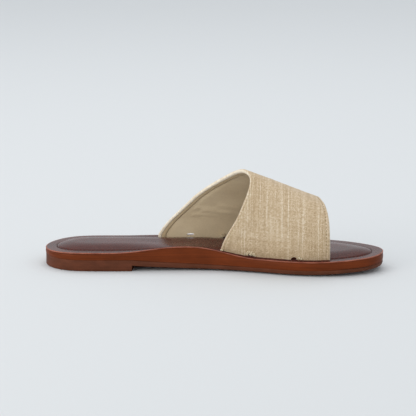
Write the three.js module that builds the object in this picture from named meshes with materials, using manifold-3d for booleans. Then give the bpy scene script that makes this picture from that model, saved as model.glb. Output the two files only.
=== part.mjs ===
// A left slide sandal: a moulded outsole with its low heel in one piece, a contoured midsole, a padded
// insole stitched round its margin, and one wide woven strap whose ends go down through slots in the insole.
// Millimetres, +Z up. The toe points along +X and the inner side of the foot is towards -Y.

import * as THREE from "three";
import { mergeVertices } from "three/addons/utils/BufferGeometryUtils.js";
import Module from "manifold-3d";

const wasm = await Module();
wasm.setup();

// Sole outline
const SOLE_LENGTH = 255;
const HEEL_WIDTH = 60;
const HEEL_SHIFT = 1;
const WAIST_WIDTH = 58;
const BALL_WIDTH = 86;
const TOE_RADIUS = 26.6;
const TOE_SHIFT = 6;

// Sole heights
const OUTSOLE_THICKNESS = 4.3;
const HEEL_LIFT = 4.2;
const HEEL_BLOCK_LENGTH = 67.5;
const MIDSOLE_AT_HEEL = 4.3;
const MIDSOLE_AT_BALL = 5.3;
const HEEL_BACK_DROP = 1.3;
const TOE_SPRING = 2.6;
const ARCH_RISE = 4.4;
const OUTER_RISE = 0.9;
const CUP_DEPTH = 1.2;
const SOLE_EDGE_ROUND = 0.8;
const SOLE_RIM_RISE = 0.9;
const SOLE_RIM_WIDTH = 10;
const SEAM_BEVEL = 0.35;

// Insole
const INSOLE_EDGE = 0.8;
const INSOLE_MARGIN = 7.6;
const STITCH_GROOVE_WIDTH = 1.3;
const STITCH_GROOVE_DEPTH = 0.5;
const PAD_RISE = 2.8;
const PAD_SLOPE_WIDTH = 16;

// Strap
const STRAP_WALL = 2.2;
const HEM_WIDTH = 6;
const HEM_STEP = 0.7;
const EDGE_ROUND = 0.6;
const INSTEP_RISE = 62.8;
const TOE_OPENING_RISE = 40.9;
const STRAP_CROWN = 0.5;
const SLOT_INSET = 4.2;
const SLOT_POCKET = 2.6;
const LEG_STAND = 1.4;
const NOTCH_RADIUS = 2.2;
const NOTCH_BAR_LENGTH = 4 * SLOT_INSET;

// Fits
const SEAM_GAP = 0.3;
const SLOT_CLEARANCE = 0.3;

// Where things lie along the sole, as shares of its length.
const ARCH_START = 0.2;
const ARCH_PEAK = 0.42;
const ARCH_END = 0.648;
const SEAT_END = 0.44;
const TREAD_START = 0.63;
const TREAD_END = 0.77;
const HEEL_BACK_END = 0.14;

// How quickly each form fades away from its highest line.
const TOE_SPRING_POWER = 1.4;
const BREAST_POWER = 2;
const MEDIAL_ARCH_POWER = 1.6;
const STRAP_BASE_POWER = 1.8;
const STRAP_CROWN_POWER = 0.7;

// The outline between heel and toe: each edge's distance from the axis, as a share of the named width.
const OUTLINE_STATIONS = [
  { width: WAIST_WIDTH, at: 0.26, medial: 0.474, lateral: 0.58 },
  { width: WAIST_WIDTH, at: 0.37, medial: 0.415, lateral: 0.6 },
  { width: WAIST_WIDTH, at: 0.5, medial: 0.392, lateral: 0.66 },
  { width: BALL_WIDTH, at: 0.62, medial: 0.328, lateral: 0.519 },
  { width: BALL_WIDTH, at: 0.73, medial: 0.419, lateral: 0.529 },
  { width: BALL_WIDTH, at: 0.815, medial: 0.442, lateral: 0.475 },
  { width: BALL_WIDTH, at: 0.885, medial: 0.414, lateral: 0.375 },
  { width: BALL_WIDTH, at: 0.945, medial: 0.343, lateral: 0.234 },
];
const HEEL_ARC_DEGREES = { lateral: [100, 120, 140, 160], medial: [180, 200, 220, 240, 260] };
const TOE_ARC_DEGREES = [-41, -22, -4, 14, 34];

// The strap's two cut edges from the medial slot to the lateral slot, as shares of the sole's length.
const STRAP_EDGES = {
  rear: {
    medialBase: 0.524,
    medialWall: 0.58,
    medialShoulder: 0.608,
    ridge: 0.591,
    lateralShoulder: 0.534,
    lateralWall: 0.427,
    lateralBase: 0.326,
  },
  front: {
    medialBase: 0.845,
    medialWall: 0.842,
    medialShoulder: 0.835,
    ridge: 0.819,
    lateralShoulder: 0.781,
    lateralWall: 0.748,
    lateralBase: 0.731,
  },
};
// Each edge's cross-section: walls and ridge as shares of the ball width from the axis, and how square it is.
const STRAP_SECTIONS = {
  rear: { medialWall: 0.34, lateralWall: 0.363, ridge: -0.035, squareness: 2.1 },
  front: { medialWall: 0.447, lateralWall: 0.45, ridge: -0.069, squareness: 2.75 },
};
// Relief notches where the strap enters the insole, as shares of the sole's length.
const MEDIAL_NOTCHES = [0.614, 0.74];
const LATERAL_NOTCHES = [0.424, 0.528, 0.632];

const PAD_EDGE = INSOLE_MARGIN + STITCH_GROOVE_WIDTH;

// How far in towards the centre line each surface is sampled.
const FLAT_SHARES = [0.85, 0.4];
const CUPPED_SHARES = [0.85, 0.6, 0.3];
const PAD_SHARES = [0.85, 0.65, 0.45, 0.25, 0.1];
const OUTLINE_SAMPLES = 112;
const STRAP_ARCH_STEPS = 36;
const STRAP_MIDDLE_SHARES = [0.25, 0.375, 0.5, 0.625, 0.75];
const NOTCH_SIDES = 16;
const SAFE_HALF_WIDTH = 8;
const MERGE_DISTANCE = 1e-4;

const clamp = THREE.MathUtils.clamp;
const lerp = THREE.MathUtils.lerp;
const smoothstep = THREE.MathUtils.smoothstep;

/** Points on an arc of the outline, round a centre on the sole's length. */
function arcPoints(centreX, centreY, radius, degrees) {
  return degrees.map(THREE.MathUtils.degToRad).map((angle) => {
    return new THREE.Vector3(centreX + radius * Math.cos(angle), centreY + radius * Math.sin(angle), 0);
  });
}

/** The closed outline of the sole, anticlockwise from above, starting at the back of the heel. */
function soleOutline() {
  const heel = (degrees) => arcPoints(HEEL_WIDTH / 2, HEEL_SHIFT, HEEL_WIDTH / 2, degrees);
  const toe = arcPoints(SOLE_LENGTH - TOE_RADIUS, -TOE_SHIFT, TOE_RADIUS, TOE_ARC_DEGREES);
  const station = (row, share) => new THREE.Vector3(row.at * SOLE_LENGTH, share * row.width, 0);
  const medial = OUTLINE_STATIONS.map((row) => station(row, -row.medial));
  const lateral = OUTLINE_STATIONS.map((row) => station(row, row.lateral)).reverse();
  const [firstHalf, secondHalf] = [heel(HEEL_ARC_DEGREES.medial), heel(HEEL_ARC_DEGREES.lateral)];
  const points = [...firstHalf, ...medial, ...toe, ...lateral, ...secondHalf];
  const curve = new THREE.CatmullRomCurve3(points, true, "centripetal");
  return curve.getSpacedPoints(OUTLINE_SAMPLES).slice(0, OUTLINE_SAMPLES);
}

const OUTLINE = soleOutline();
const OUTLINE_NORMALS = OUTLINE.map((point, i) => {
  const before = OUTLINE[(i + OUTLINE.length - 1) % OUTLINE.length];
  const after = OUTLINE[(i + 1) % OUTLINE.length];
  const along = after.clone().sub(before).normalize();
  return new THREE.Vector3(-along.y, along.x, 0);
});

/** Where the outline crosses the line x, on the medial (-1) or lateral (+1) side. */
function edgeY(x, side) {
  let best = 0;
  OUTLINE.forEach((a, i) => {
    const b = OUTLINE[(i + 1) % OUTLINE.length];
    const low = Math.min(a.x, b.x);
    const high = Math.max(a.x, b.x);
    if (x < low || x > high || high === low) return;
    const y = lerp(a.y, b.y, (x - a.x) / (b.x - a.x));
    if (side < 0 ? y < best : y > best) best = y;
  });
  return best;
}

/** How far across the sole a point is: -1 at the medial edge, 0 on the axis, 1 at the lateral edge. */
function acrossShare(x, y) {
  const half = Math.max(Math.abs(edgeY(x, y < 0 ? -1 : 1)), SAFE_HALF_WIDTH);
  return clamp(y / half, -1, 1);
}

/** The shortest distance from a point to the outline. */
function distanceToEdge(x, y) {
  return Math.min(
    ...OUTLINE.map((a, i) => {
      const b = OUTLINE[(i + 1) % OUTLINE.length];
      const [dx, dy] = [b.x - a.x, b.y - a.y];
      const t = clamp(((x - a.x) * dx + (y - a.y) * dy) / (dx * dx + dy * dy), 0, 1);
      return Math.hypot(x - a.x - t * dx, y - a.y - t * dy);
    }),
  );
}

/** How far the toe lifts off the floor at x. */
function toeLift(x) {
  const share = clamp((x / SOLE_LENGTH - TREAD_END) / (1 - TREAD_END), 0, 1);
  return TOE_SPRING * share ** TOE_SPRING_POWER;
}

/** The underside of the outsole's plate, without the heel block. */
function undersideZ(x) {
  const breast = HEEL_BLOCK_LENGTH / SOLE_LENGTH;
  const share = clamp((x / SOLE_LENGTH - breast) / (TREAD_START - breast), 0, 1);
  return HEEL_LIFT * (1 - share) ** BREAST_POWER + toeLift(x);
}

function outsoleTopZ(x) {
  return undersideZ(x) + OUTSOLE_THICKNESS;
}

/** The arch's height along the sole, from 0 to 1. */
function archShare(x) {
  const at = x / SOLE_LENGTH;
  const end = at < ARCH_PEAK ? ARCH_START : ARCH_END;
  const half = (at - end) / (ARCH_PEAK - end);
  return Math.sin((clamp(half, 0, 1) * Math.PI) / 2) ** 2;
}

/** The top of the insole's margin: the surface that the padding and the groove are measured from. */
function footbedZ(x, y) {
  const at = x / SOLE_LENGTH;
  const q = acrossShare(x, y);
  const layers = OUTSOLE_THICKNESS + SEAM_GAP + SEAM_GAP + INSOLE_EDGE;
  const fall = smoothstep(at, SEAT_END, TREAD_START);
  const seat = layers + lerp(HEEL_LIFT + MIDSOLE_AT_HEEL, MIDSOLE_AT_BALL, fall);
  const back = HEEL_BACK_DROP * (1 - clamp(at / HEEL_BACK_END, 0, 1)) ** 2;
  const arch = archShare(x);
  const medial = ARCH_RISE * Math.max(-q, 0) ** MEDIAL_ARCH_POWER;
  const lateral = OUTER_RISE * Math.max(q, 0) ** 2;
  const cup = CUP_DEPTH * (1 - q * q) * arch;
  return seat - back + toeLift(x) + arch * (medial + lateral) - cup;
}

/** How far the domed padding stands above the margin at a distance from the sole's edge. */
function padRise(distance) {
  const share = clamp((distance - INSOLE_MARGIN) / PAD_SLOPE_WIDTH, 0, 1);
  return PAD_RISE * (1 - (1 - share) ** 2);
}

/** A closed loop inset from the outline, with its height worked out point by point. */
function insetLoop(inset, height) {
  return OUTLINE.map((point, i) => {
    const moved = point.clone().addScaledVector(OUTLINE_NORMALS[i], inset);
    moved.z = height(moved.x, moved.y);
    return moved;
  });
}

/** A closed loop drawn in from the inset one towards the sole's centre line, by a share of the way. */
function innerLoop(inset, share, height) {
  const firstX = HEEL_WIDTH / 2;
  const lastX = SOLE_LENGTH - HEEL_WIDTH / 2;
  return insetLoop(inset, () => 0).map((point) => {
    const x = clamp(point.x, firstX, lastX);
    const y = (edgeY(x, -1) + edgeY(x, 1)) / 2;
    const moved = new THREE.Vector3(lerp(point.x, x, share), lerp(point.y, y, share), 0);
    moved.z = height(moved.x, moved.y);
    return moved;
  });
}

/** Triangles that fill a loop seen from above: its two sides zipped together from the heel to the toe. */
function zipLoop(loop) {
  const size = loop.length;
  const xs = loop.map((p) => p.x);
  const toe = xs.indexOf(Math.max(...xs));
  let medial = xs.indexOf(Math.min(...xs));
  let lateral = medial;
  const faces = [];
  while (medial !== toe || lateral !== toe) {
    const nextMedial = (medial + 1) % size;
    const nextLateral = (lateral + size - 1) % size;
    if (lateral === toe || (medial !== toe && xs[nextMedial] <= xs[nextLateral])) {
      faces.push([medial, nextMedial, lateral]);
      medial = nextMedial;
    } else {
      faces.push([medial, nextLateral, lateral]);
      lateral = nextLateral;
    }
  }
  return faces.filter(([a, b, c]) => a !== b && b !== c && c !== a);
}

/** Triangles between the two halves of a flattened loop, whose points k and last - k face each other. */
function stripLoop(loop) {
  const last = loop.length - 1;
  const faces = [];
  for (let k = 0; k < loop.length / 2 - 1; k++) {
    faces.push([k, k + 1, last - k - 1], [k, last - k - 1, last - k]);
  }
  return faces;
}

/** A closed solid through loops of equal length, capped at the first and the last. */
function loft(loops, fill) {
  const size = loops[0].length;
  const positions = loops.flat().flatMap((p) => [p.x, p.y, p.z]);
  const faces = [];
  for (let k = 0; k + 1 < loops.length; k++) {
    for (let i = 0; i < size; i++) {
      const next = (i + 1) % size;
      const [a, b] = [k * size + i, k * size + next];
      const [c, d] = [b + size, a + size];
      faces.push([a, b, c], [a, c, d]);
    }
  }
  const top = (loops.length - 1) * size;
  fill(loops[0]).forEach(([a, b, c]) => faces.push([a, c, b]));
  fill(loops[loops.length - 1]).forEach(([a, b, c]) => faces.push([top + a, top + b, top + c]));
  const geometry = new THREE.BufferGeometry();
  geometry.setAttribute("position", new THREE.Float32BufferAttribute(positions, 3));
  geometry.setIndex(faces.flat());
  return geometry;
}

function solidOf(geometry) {
  geometry.deleteAttribute("normal");
  geometry.deleteAttribute("uv");
  const merged = mergeVertices(geometry, MERGE_DISTANCE);
  return new wasm.Manifold(
    new wasm.Mesh({
      numProp: 3,
      vertProperties: merged.getAttribute("position").array,
      triVerts: new Uint32Array(merged.getIndex().array),
    }),
  );
}

function geometryOf(solid) {
  const mesh = solid.getMesh();
  const geometry = new THREE.BufferGeometry();
  geometry.setAttribute("position", new THREE.BufferAttribute(mesh.vertProperties, 3));
  geometry.setIndex(new THREE.BufferAttribute(mesh.triVerts, 1));
  const flat = geometry.toNonIndexed();
  flat.computeVertexNormals();
  return flat;
}

/** The loops of a sole layer that close its underside or its top, from the centre line out to an inset. */
function faceLoops(inset, shares, height) {
  return [...shares.map((share) => innerLoop(inset, share, height)), insetLoop(inset, height)];
}

/** A sole layer between two surfaces, its upright side set in at the bottom and at the top. */
function soleLayer(bottom, top, bottomInset, topInset, shares) {
  const side = [
    insetLoop(0, (x, y) => bottom(x, y) + bottomInset),
    insetLoop(0, (x, y) => top(x, y) - topInset),
  ];
  return loft(
    [...faceLoops(bottomInset, FLAT_SHARES, bottom), ...side, ...faceLoops(topInset, shares, top).reverse()],
    zipLoop,
  );
}

/** The heel block: the outline's back part, standing on the floor and let into the plate above it. */
function heelBlock() {
  const intoPlate = HEEL_LIFT + OUTSOLE_THICKNESS / 2;
  const whole = solidOf(soleLayer(() => 0, () => intoPlate, SOLE_EDGE_ROUND, 0, FLAT_SHARES));
  const back = new THREE.BoxGeometry(2 * HEEL_BLOCK_LENGTH, 2 * BALL_WIDTH, 2 * SOLE_LENGTH);
  return whole.intersect(solidOf(back));
}

/** The underside at its rim, which slopes up off the floor under the ball and the toe. */
function rimZ(x) {
  return undersideZ(x) + SOLE_RIM_RISE * smoothstep(x, HEEL_BLOCK_LENGTH, TREAD_START * SOLE_LENGTH);
}

function outsoleSolid() {
  const plate = loft(
    [
      ...faceLoops(SOLE_RIM_WIDTH, FLAT_SHARES, undersideZ),
      insetLoop(SOLE_EDGE_ROUND, rimZ),
      insetLoop(0, (x) => rimZ(x) + SOLE_EDGE_ROUND),
      insetLoop(0, (x) => outsoleTopZ(x) - SEAM_BEVEL),
      ...faceLoops(SEAM_BEVEL, FLAT_SHARES, outsoleTopZ).reverse(),
    ],
    zipLoop,
  );
  return solidOf(plate).add(heelBlock());
}

function midsoleSolid() {
  const bottom = (x) => outsoleTopZ(x) + SEAM_GAP;
  const top = (x, y) => footbedZ(x, y) - INSOLE_EDGE - SEAM_GAP;
  return solidOf(soleLayer(bottom, top, SEAM_BEVEL, SEAM_BEVEL, CUPPED_SHARES));
}

function insoleSolid() {
  const bottom = (x, y) => footbedZ(x, y) - INSOLE_EDGE;
  const margin = (x, y) => footbedZ(x, y);
  const groove = (x, y) => margin(x, y) - STITCH_GROOVE_DEPTH;
  const pad = (x, y) => margin(x, y) + padRise(distanceToEdge(x, y));
  const lip = INSOLE_EDGE / 3;
  return solidOf(
    loft(
      [
        ...faceLoops(0, CUPPED_SHARES, bottom),
        insetLoop(0, (x, y) => margin(x, y) - lip),
        insetLoop(lip, margin),
        insetLoop(INSOLE_MARGIN - STITCH_GROOVE_DEPTH, margin),
        insetLoop(INSOLE_MARGIN + STITCH_GROOVE_WIDTH / 3, groove),
        ...faceLoops(PAD_EDGE, PAD_SHARES, pad).reverse(),
      ],
      zipLoop,
    ),
  );
}

/**
 * The x of one strap edge at u, from the medial base (0) over the ridge to the lateral base (1).
 * Below its first and its last column the edge runs straight down with the strap's height.
 */
function strapEdgeX(edge) {
  const columns = Object.values(STRAP_EDGES[edge]);
  const steps = columns.length - 1;
  const curve = new THREE.SplineCurve(
    columns.map((share, i) => new THREE.Vector2(i / steps, share * SOLE_LENGTH)),
  );
  const rise = (u) => Math.sin(Math.PI * u) ** (2 / STRAP_SECTIONS[edge].squareness);
  return (u) => {
    const fromBase = Math.min(u, 1 - u);
    if (fromBase * steps >= 1) return curve.getPoint(u).y;
    const place = rise(fromBase) / rise(1 / steps) / steps;
    return curve.getPoint(u < 0.5 ? place : 1 - place).y;
  };
}

const REAR_X = strapEdgeX("rear");
const FRONT_X = strapEdgeX("front");

/** A point of the strap's outer face: u runs over the foot, v from the rear edge to the front edge. */
function strapPoint(u, v) {
  const [rear, front] = [STRAP_SECTIONS.rear, STRAP_SECTIONS.front];
  const of = (key) => lerp(rear[key], front[key], v);
  const side = u < 0.5 ? -1 : 1;
  const x = lerp(REAR_X(u), FRONT_X(u), v);
  const power = 2 / of("squareness");
  const angle = Math.PI * u;
  const rise = Math.sin(angle) ** power;
  const spread = Math.abs(Math.cos(angle)) ** power;
  const ridgeY = of("ridge") * BALL_WIDTH;
  const wallY = side * of(side < 0 ? "medialWall" : "lateralWall") * BALL_WIDTH;
  const baseX = lerp(REAR_X(side < 0 ? 0 : 1), FRONT_X(side < 0 ? 0 : 1), v);
  const baseY = edgeY(baseX, side) - side * SLOT_INSET;
  const baseZ = footbedZ(baseX, baseY) + LEG_STAND;
  const ridgeX = lerp(REAR_X(0.5), FRONT_X(0.5), v);
  const ridgeZ = footbedZ(ridgeX, 0) + lerp(INSTEP_RISE, TOE_OPENING_RISE, v);
  const crown = STRAP_CROWN * Math.sin(Math.PI * clamp(v, 0, 1) ** STRAP_CROWN_POWER);
  const toBase = (baseY - wallY) * (1 - rise) ** STRAP_BASE_POWER;
  const y = lerp(ridgeY, wallY, spread) + toBase + side * crown * spread * rise;
  return new THREE.Vector3(x, y, lerp(baseZ, ridgeZ + crown, rise));
}

/** A row of points lowered by a depth. */
function lowered(row, depth) {
  return row.map((p) => new THREE.Vector3(p.x, p.y, p.z - depth));
}

/** The unit normals of a grid of points, away from the foot. */
function gridNormals(grid) {
  return grid.map((row, i) =>
    row.map((point, j) => {
      const across = grid[Math.min(i + 1, grid.length - 1)][j].clone().sub(grid[Math.max(i - 1, 0)][j]);
      const along = row[Math.min(j + 1, row.length - 1)].clone().sub(row[Math.max(j - 1, 0)]);
      return along.cross(across).normalize();
    }),
  );
}

/** A wall through a grid of points, grown outwards and inwards by a distance for each column. */
function wallSolid(grid, normals, outwardAt, inwardAt) {
  const loops = grid.map((row, i) => {
    const outer = row.map((point, j) => point.clone().addScaledVector(normals[i][j], outwardAt(j)));
    const inner = row.map((point, j) => point.clone().addScaledVector(normals[i][j], -inwardAt(j)));
    return [...outer, ...inner.reverse()];
  });
  return solidOf(loft(loops, stripLoop));
}

const LEG_LENGTH = LEG_STAND + INSOLE_EDGE + SEAM_GAP + SLOT_POCKET;

/** The columns of the strap's grid where it is a given width, as shares from rear edge to front edge. */
function strapShares(width) {
  const hem = [0, EDGE_ROUND, HEM_WIDTH - EDGE_ROUND, HEM_WIDTH].map((distance) => distance / width);
  return [...hem, ...STRAP_MIDDLE_SHARES, ...hem.map((share) => 1 - share).reverse()];
}

function strapSolid() {
  const last = strapShares(SOLE_LENGTH).length - 1;
  const isEdge = (j) => j === 0 || j === last;
  const isHem = (j) => j < 3 || j > last - 3;
  const outwardAt = (j) => (isEdge(j) ? -EDGE_ROUND : 0);
  const inwardAt = (j) => {
    if (isEdge(j)) return STRAP_WALL - EDGE_ROUND;
    return isHem(j) ? STRAP_WALL + HEM_STEP : STRAP_WALL;
  };
  const arch = [];
  for (let i = 0; i <= STRAP_ARCH_STEPS; i++) {
    const u = i / STRAP_ARCH_STEPS;
    arch.push(strapShares(FRONT_X(u) - REAR_X(u)).map((v) => strapPoint(u, v)));
  }
  const grid = [lowered(arch[0], LEG_LENGTH), ...arch, lowered(arch[arch.length - 1], LEG_LENGTH)];
  const normals = gridNormals(grid);
  normals[1] = normals[0];
  normals[normals.length - 2] = normals[normals.length - 1];
  return wallSolid(grid, normals, outwardAt, inwardAt);
}

/** The upright slot that one leg of the strap needs in the insole and the midsole. */
function slotCutter(side) {
  const u = side < 0 ? 0 : 1;
  const width = FRONT_X(u) - REAR_X(u);
  const beyond = SLOT_CLEARANCE / width;
  const shares = [-beyond, ...strapShares(width).slice(1, -1), 1 + beyond];
  const top = shares.map((v) => strapPoint(u, v));
  const bottom = lowered(top, LEG_LENGTH + SLOT_CLEARANCE);
  const grid = side < 0 ? [bottom, top] : [top, bottom];
  const room = STRAP_WALL + HEM_STEP + SLOT_CLEARANCE;
  return wallSolid(grid, gridNormals(grid), () => SLOT_CLEARANCE, () => room);
}

/** A round bar that cuts one relief notch through the strap where it meets the insole. */
function notchCutter(share, side) {
  const x = share * SOLE_LENGTH;
  const y = edgeY(x, side) - side * SLOT_INSET;
  const bar = new THREE.CylinderGeometry(NOTCH_RADIUS, NOTCH_RADIUS, NOTCH_BAR_LENGTH, NOTCH_SIDES);
  return solidOf(bar.translate(x, y, footbedZ(x, y)));
}

function piece(name, solid, colour, roughness) {
  const material = new THREE.MeshStandardMaterial({ color: colour, roughness, metalness: 0 });
  const mesh = new THREE.Mesh(geometryOf(solid), material);
  mesh.name = name;
  return mesh;
}

const notches = [
  ...MEDIAL_NOTCHES.map((share) => notchCutter(share, -1)),
  ...LATERAL_NOTCHES.map((share) => notchCutter(share, 1)),
];
const strap = strapSolid().subtract(wasm.Manifold.union(notches));
const slots = slotCutter(-1).add(slotCutter(1));
const sandal = new THREE.Group();
sandal.name = "slide_sandal";
sandal.add(
  piece("outsole", outsoleSolid(), 0x6a3f2e, 0.6),
  piece("midsole", midsoleSolid().subtract(slots), 0x7d421f, 0.45),
  piece("insole", insoleSolid().subtract(slots), 0x4f2f2b, 0.4),
  piece("strap", strap, 0xcdb791, 0.9),
);

// The origin is under the middle of the sole, on the floor.
const widths = OUTLINE.map((point) => point.y);
const lengths = OUTLINE.map((point) => point.x);
sandal.position.set(
  -(Math.min(...lengths) + Math.max(...lengths)) / 2,
  -(Math.min(...widths) + Math.max(...widths)) / 2,
  0,
);

export default sandal;
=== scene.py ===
"""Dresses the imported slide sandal: footbed, layered sole, woven strap and stitches, in a plain studio."""

import logging
import math
import random
from dataclasses import dataclass
from enum import Enum
from functools import cached_property
from typing import Callable, NamedTuple, Sequence

import bmesh
import bpy
import numpy as np
from mathutils import Matrix, Vector


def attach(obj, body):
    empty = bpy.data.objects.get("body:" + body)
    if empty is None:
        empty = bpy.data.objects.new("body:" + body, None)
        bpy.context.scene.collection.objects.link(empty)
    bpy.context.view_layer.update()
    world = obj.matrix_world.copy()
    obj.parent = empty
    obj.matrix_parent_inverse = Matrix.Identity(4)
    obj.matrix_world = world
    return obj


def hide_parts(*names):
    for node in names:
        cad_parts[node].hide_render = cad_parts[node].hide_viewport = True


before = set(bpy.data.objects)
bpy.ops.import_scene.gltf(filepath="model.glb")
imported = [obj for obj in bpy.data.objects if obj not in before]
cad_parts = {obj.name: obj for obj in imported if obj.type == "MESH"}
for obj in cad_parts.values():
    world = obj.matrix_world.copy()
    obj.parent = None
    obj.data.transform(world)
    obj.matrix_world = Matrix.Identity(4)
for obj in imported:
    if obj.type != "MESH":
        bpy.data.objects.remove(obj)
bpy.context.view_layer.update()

MM = 0.001
MERGE = 0.001 * MM
LOG = logging.getLogger("slide_sandal")


class Side(Enum):
    """The two sides of the foot, by the sign of y."""

    MEDIAL = -1
    LATERAL = 1


class Edge(Enum):
    """The strap's two cut edges, by the sign of the way from the strap's middle."""

    REAR = -1
    FRONT = 1


def lerp(low, high, share):
    """Mixes two values, or two arrays of them, by a share from 0 to 1."""
    return low + (high - low) * share


def smoothstep(value, low: float, high: float):
    """Runs smoothly from 0 at low to 1 at high."""
    share = np.clip((value - low) / (high - low), 0, 1)
    return share * share * (3 - 2 * share)


def hermite(start, end, leave, arrive, share):
    """Follows the smooth curve from start to end that leaves and arrives along two slopes."""
    square = -3 * start + 3 * end - 2 * leave - arrive
    cube = 2 * start - 2 * end + leave + arrive
    return start + leave * share + square * share**2 + cube * share**3


def run(line: np.ndarray) -> np.ndarray:
    """How far along a line each of its points lies."""
    return np.concatenate([[0], np.cumsum(np.linalg.norm(np.diff(line, axis=0), axis=1))])


def spaced(points: np.ndarray, count: int, closed: bool) -> np.ndarray:
    """Puts points at equal distances along a line.

    Args:
        points: The line's points, one a row.
        count: How many points to give back.
        closed: Whether the line runs back to its first point.

    Returns:
        The new points, one a row, starting at the line's first one.
    """
    line = np.vstack([points, points[:1]]) if closed else points
    along = run(line)
    places = np.linspace(0, along[-1], count, endpoint=not closed)
    return np.stack([np.interp(places, along, column) for column in line.T], axis=1)


def unit(vectors: np.ndarray) -> np.ndarray:
    """Scales vectors, one along the last axis, to length 1."""
    return vectors / np.maximum(np.linalg.norm(vectors, axis=-1, keepdims=True), 1e-12)


class OutlineStation(NamedTuple):
    """One row of the outline's table: shares of the sole's length and of the named width."""

    at: float
    width: str
    medial: float
    lateral: float


class StrapLine(NamedTuple):
    """Where one strap edge crosses each line over the foot, as shares of the sole's length."""

    medial_base: float
    medial_wall: float
    medial_shoulder: float
    ridge: float
    lateral_shoulder: float
    lateral_wall: float
    lateral_base: float


class StrapSection(NamedTuple):
    """One strap edge's section: its walls and ridge as shares of the ball width, and how square it is."""

    medial_wall: float
    lateral_wall: float
    ridge: float
    squareness: float


@dataclass(frozen=True)
class Last:
    """The form that every layer is cut to. Its own x runs from the heel's back, its y from the axis."""

    length: float = 255 * MM
    heel_width: float = 60 * MM
    heel_shift: float = 1 * MM
    waist_width: float = 58 * MM
    ball_width: float = 86 * MM
    toe_radius: float = 26.6 * MM
    toe_shift: float = 6 * MM
    outsole_thickness: float = 4.3 * MM
    heel_lift: float = 4.2 * MM
    heel_block_length: float = 67.5 * MM
    midsole_at_heel: float = 4.3 * MM
    midsole_at_ball: float = 5.3 * MM
    heel_back_drop: float = 1.3 * MM
    toe_spring: float = 2.6 * MM
    arch_rise: float = 4.4 * MM
    outer_rise: float = 0.9 * MM
    cup_depth: float = 1.2 * MM
    insole_edge: float = 0.8 * MM
    layer_gap: float = 0.3 * MM
    safe_half_width: float = 8 * MM
    arch_start: float = 0.2
    arch_peak: float = 0.42
    arch_end: float = 0.648
    seat_end: float = 0.44
    tread_start: float = 0.63
    tread_end: float = 0.77
    heel_back_end: float = 0.14
    toe_power: float = 1.4
    arch_power: float = 1.6
    points_between: int = 40
    probe_points: int = 320
    probe_group: int = 1500

    stations = (
        OutlineStation(0.26, "waist_width", 0.474, 0.58),
        OutlineStation(0.37, "waist_width", 0.415, 0.6),
        OutlineStation(0.5, "waist_width", 0.392, 0.66),
        OutlineStation(0.62, "ball_width", 0.328, 0.519),
        OutlineStation(0.73, "ball_width", 0.419, 0.529),
        OutlineStation(0.815, "ball_width", 0.442, 0.475),
        OutlineStation(0.885, "ball_width", 0.414, 0.375),
        OutlineStation(0.945, "ball_width", 0.343, 0.234),
    )
    heel_medial_degrees = (180, 200, 220, 240, 260)
    heel_lateral_degrees = (100, 120, 140, 160)
    toe_degrees = (-41, -22, -4, 14, 34)

    def arc(self, centre: tuple[float, float], radius: float, degrees: Sequence[float]) -> np.ndarray:
        """Points on an arc of the outline, one for each angle."""
        angle = np.radians(degrees)
        return np.stack([centre[0] + radius * np.cos(angle), centre[1] + radius * np.sin(angle)], axis=1)

    @cached_property
    def dense_outline(self) -> np.ndarray:
        """The closed outline as a smooth curve through its stations, anticlockwise from the heel's back."""
        heel = ((self.heel_width / 2, self.heel_shift), self.heel_width / 2)
        toe = ((self.length - self.toe_radius, -self.toe_shift), self.toe_radius)
        width = [getattr(self, row.width) for row in self.stations]
        along = [row.at * self.length for row in self.stations]
        medial = np.array([[x, -row.medial * w] for x, row, w in zip(along, self.stations, width)])
        lateral = np.array([[x, row.lateral * w] for x, row, w in zip(along, self.stations, width)])
        points = np.vstack(
            [
                self.arc(*heel, self.heel_medial_degrees),
                medial,
                self.arc(*toe, self.toe_degrees),
                lateral[::-1],
                self.arc(*heel, self.heel_lateral_degrees),
            ]
        )
        before, after, beyond = (np.roll(points, turn, axis=0) for turn in (1, -1, -2))
        pairs = ((before, points), (points, after), (after, beyond))
        root = [np.sum((b - a) ** 2, axis=1, keepdims=True) ** 0.25 for a, b in pairs]
        leave = (points - before) / root[0] - (after - before) / (root[0] + root[1])
        leave = (leave + (after - points) / root[1]) * root[1]
        arrive = (after - points) / root[1] - (beyond - points) / (root[1] + root[2])
        arrive = (arrive + (beyond - after) / root[2]) * root[1]
        share = np.linspace(0, 1, self.points_between, endpoint=False)[None, :, None]
        ends = (array[:, None, :] for array in (points, after, leave, arrive))
        return hermite(*ends, share).reshape(-1, 2)

    def outline(self, count: int) -> np.ndarray:
        """The outline's points at equal distances."""
        return spaced(self.dense_outline, count, closed=True)

    @cached_property
    def origin(self) -> np.ndarray:
        """What is taken from the last's own x and y to reach the row frame."""
        low, high = self.dense_outline.min(axis=0), self.dense_outline.max(axis=0)
        return (low + high) / 2

    def place(self, points: np.ndarray) -> np.ndarray:
        """Moves points from the last's own x and y to the row frame."""
        moved = np.array(points, float)
        moved[..., :2] -= self.origin
        return moved

    @cached_property
    def edges(self) -> dict[Side, np.ndarray]:
        """Each side's edge from heel to toe, as rows of x and y with x rising."""
        line = self.dense_outline
        heel, toe = int(np.argmin(line[:, 0])), int(np.argmax(line[:, 0]))
        turned = np.roll(line, -heel, axis=0)
        toe = (toe - heel) % len(line)
        return {Side.MEDIAL: turned[: toe + 1], Side.LATERAL: np.vstack([turned[toe:], turned[:1]])[::-1]}

    def edge_y(self, x, side: Side):
        """The outline's y at x on one side."""
        line = self.edges[side]
        return np.interp(x, line[:, 0], line[:, 1])

    def middle_y(self, x):
        """The y halfway between the two sides at x."""
        return (self.edge_y(x, Side.MEDIAL) + self.edge_y(x, Side.LATERAL)) / 2

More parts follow.
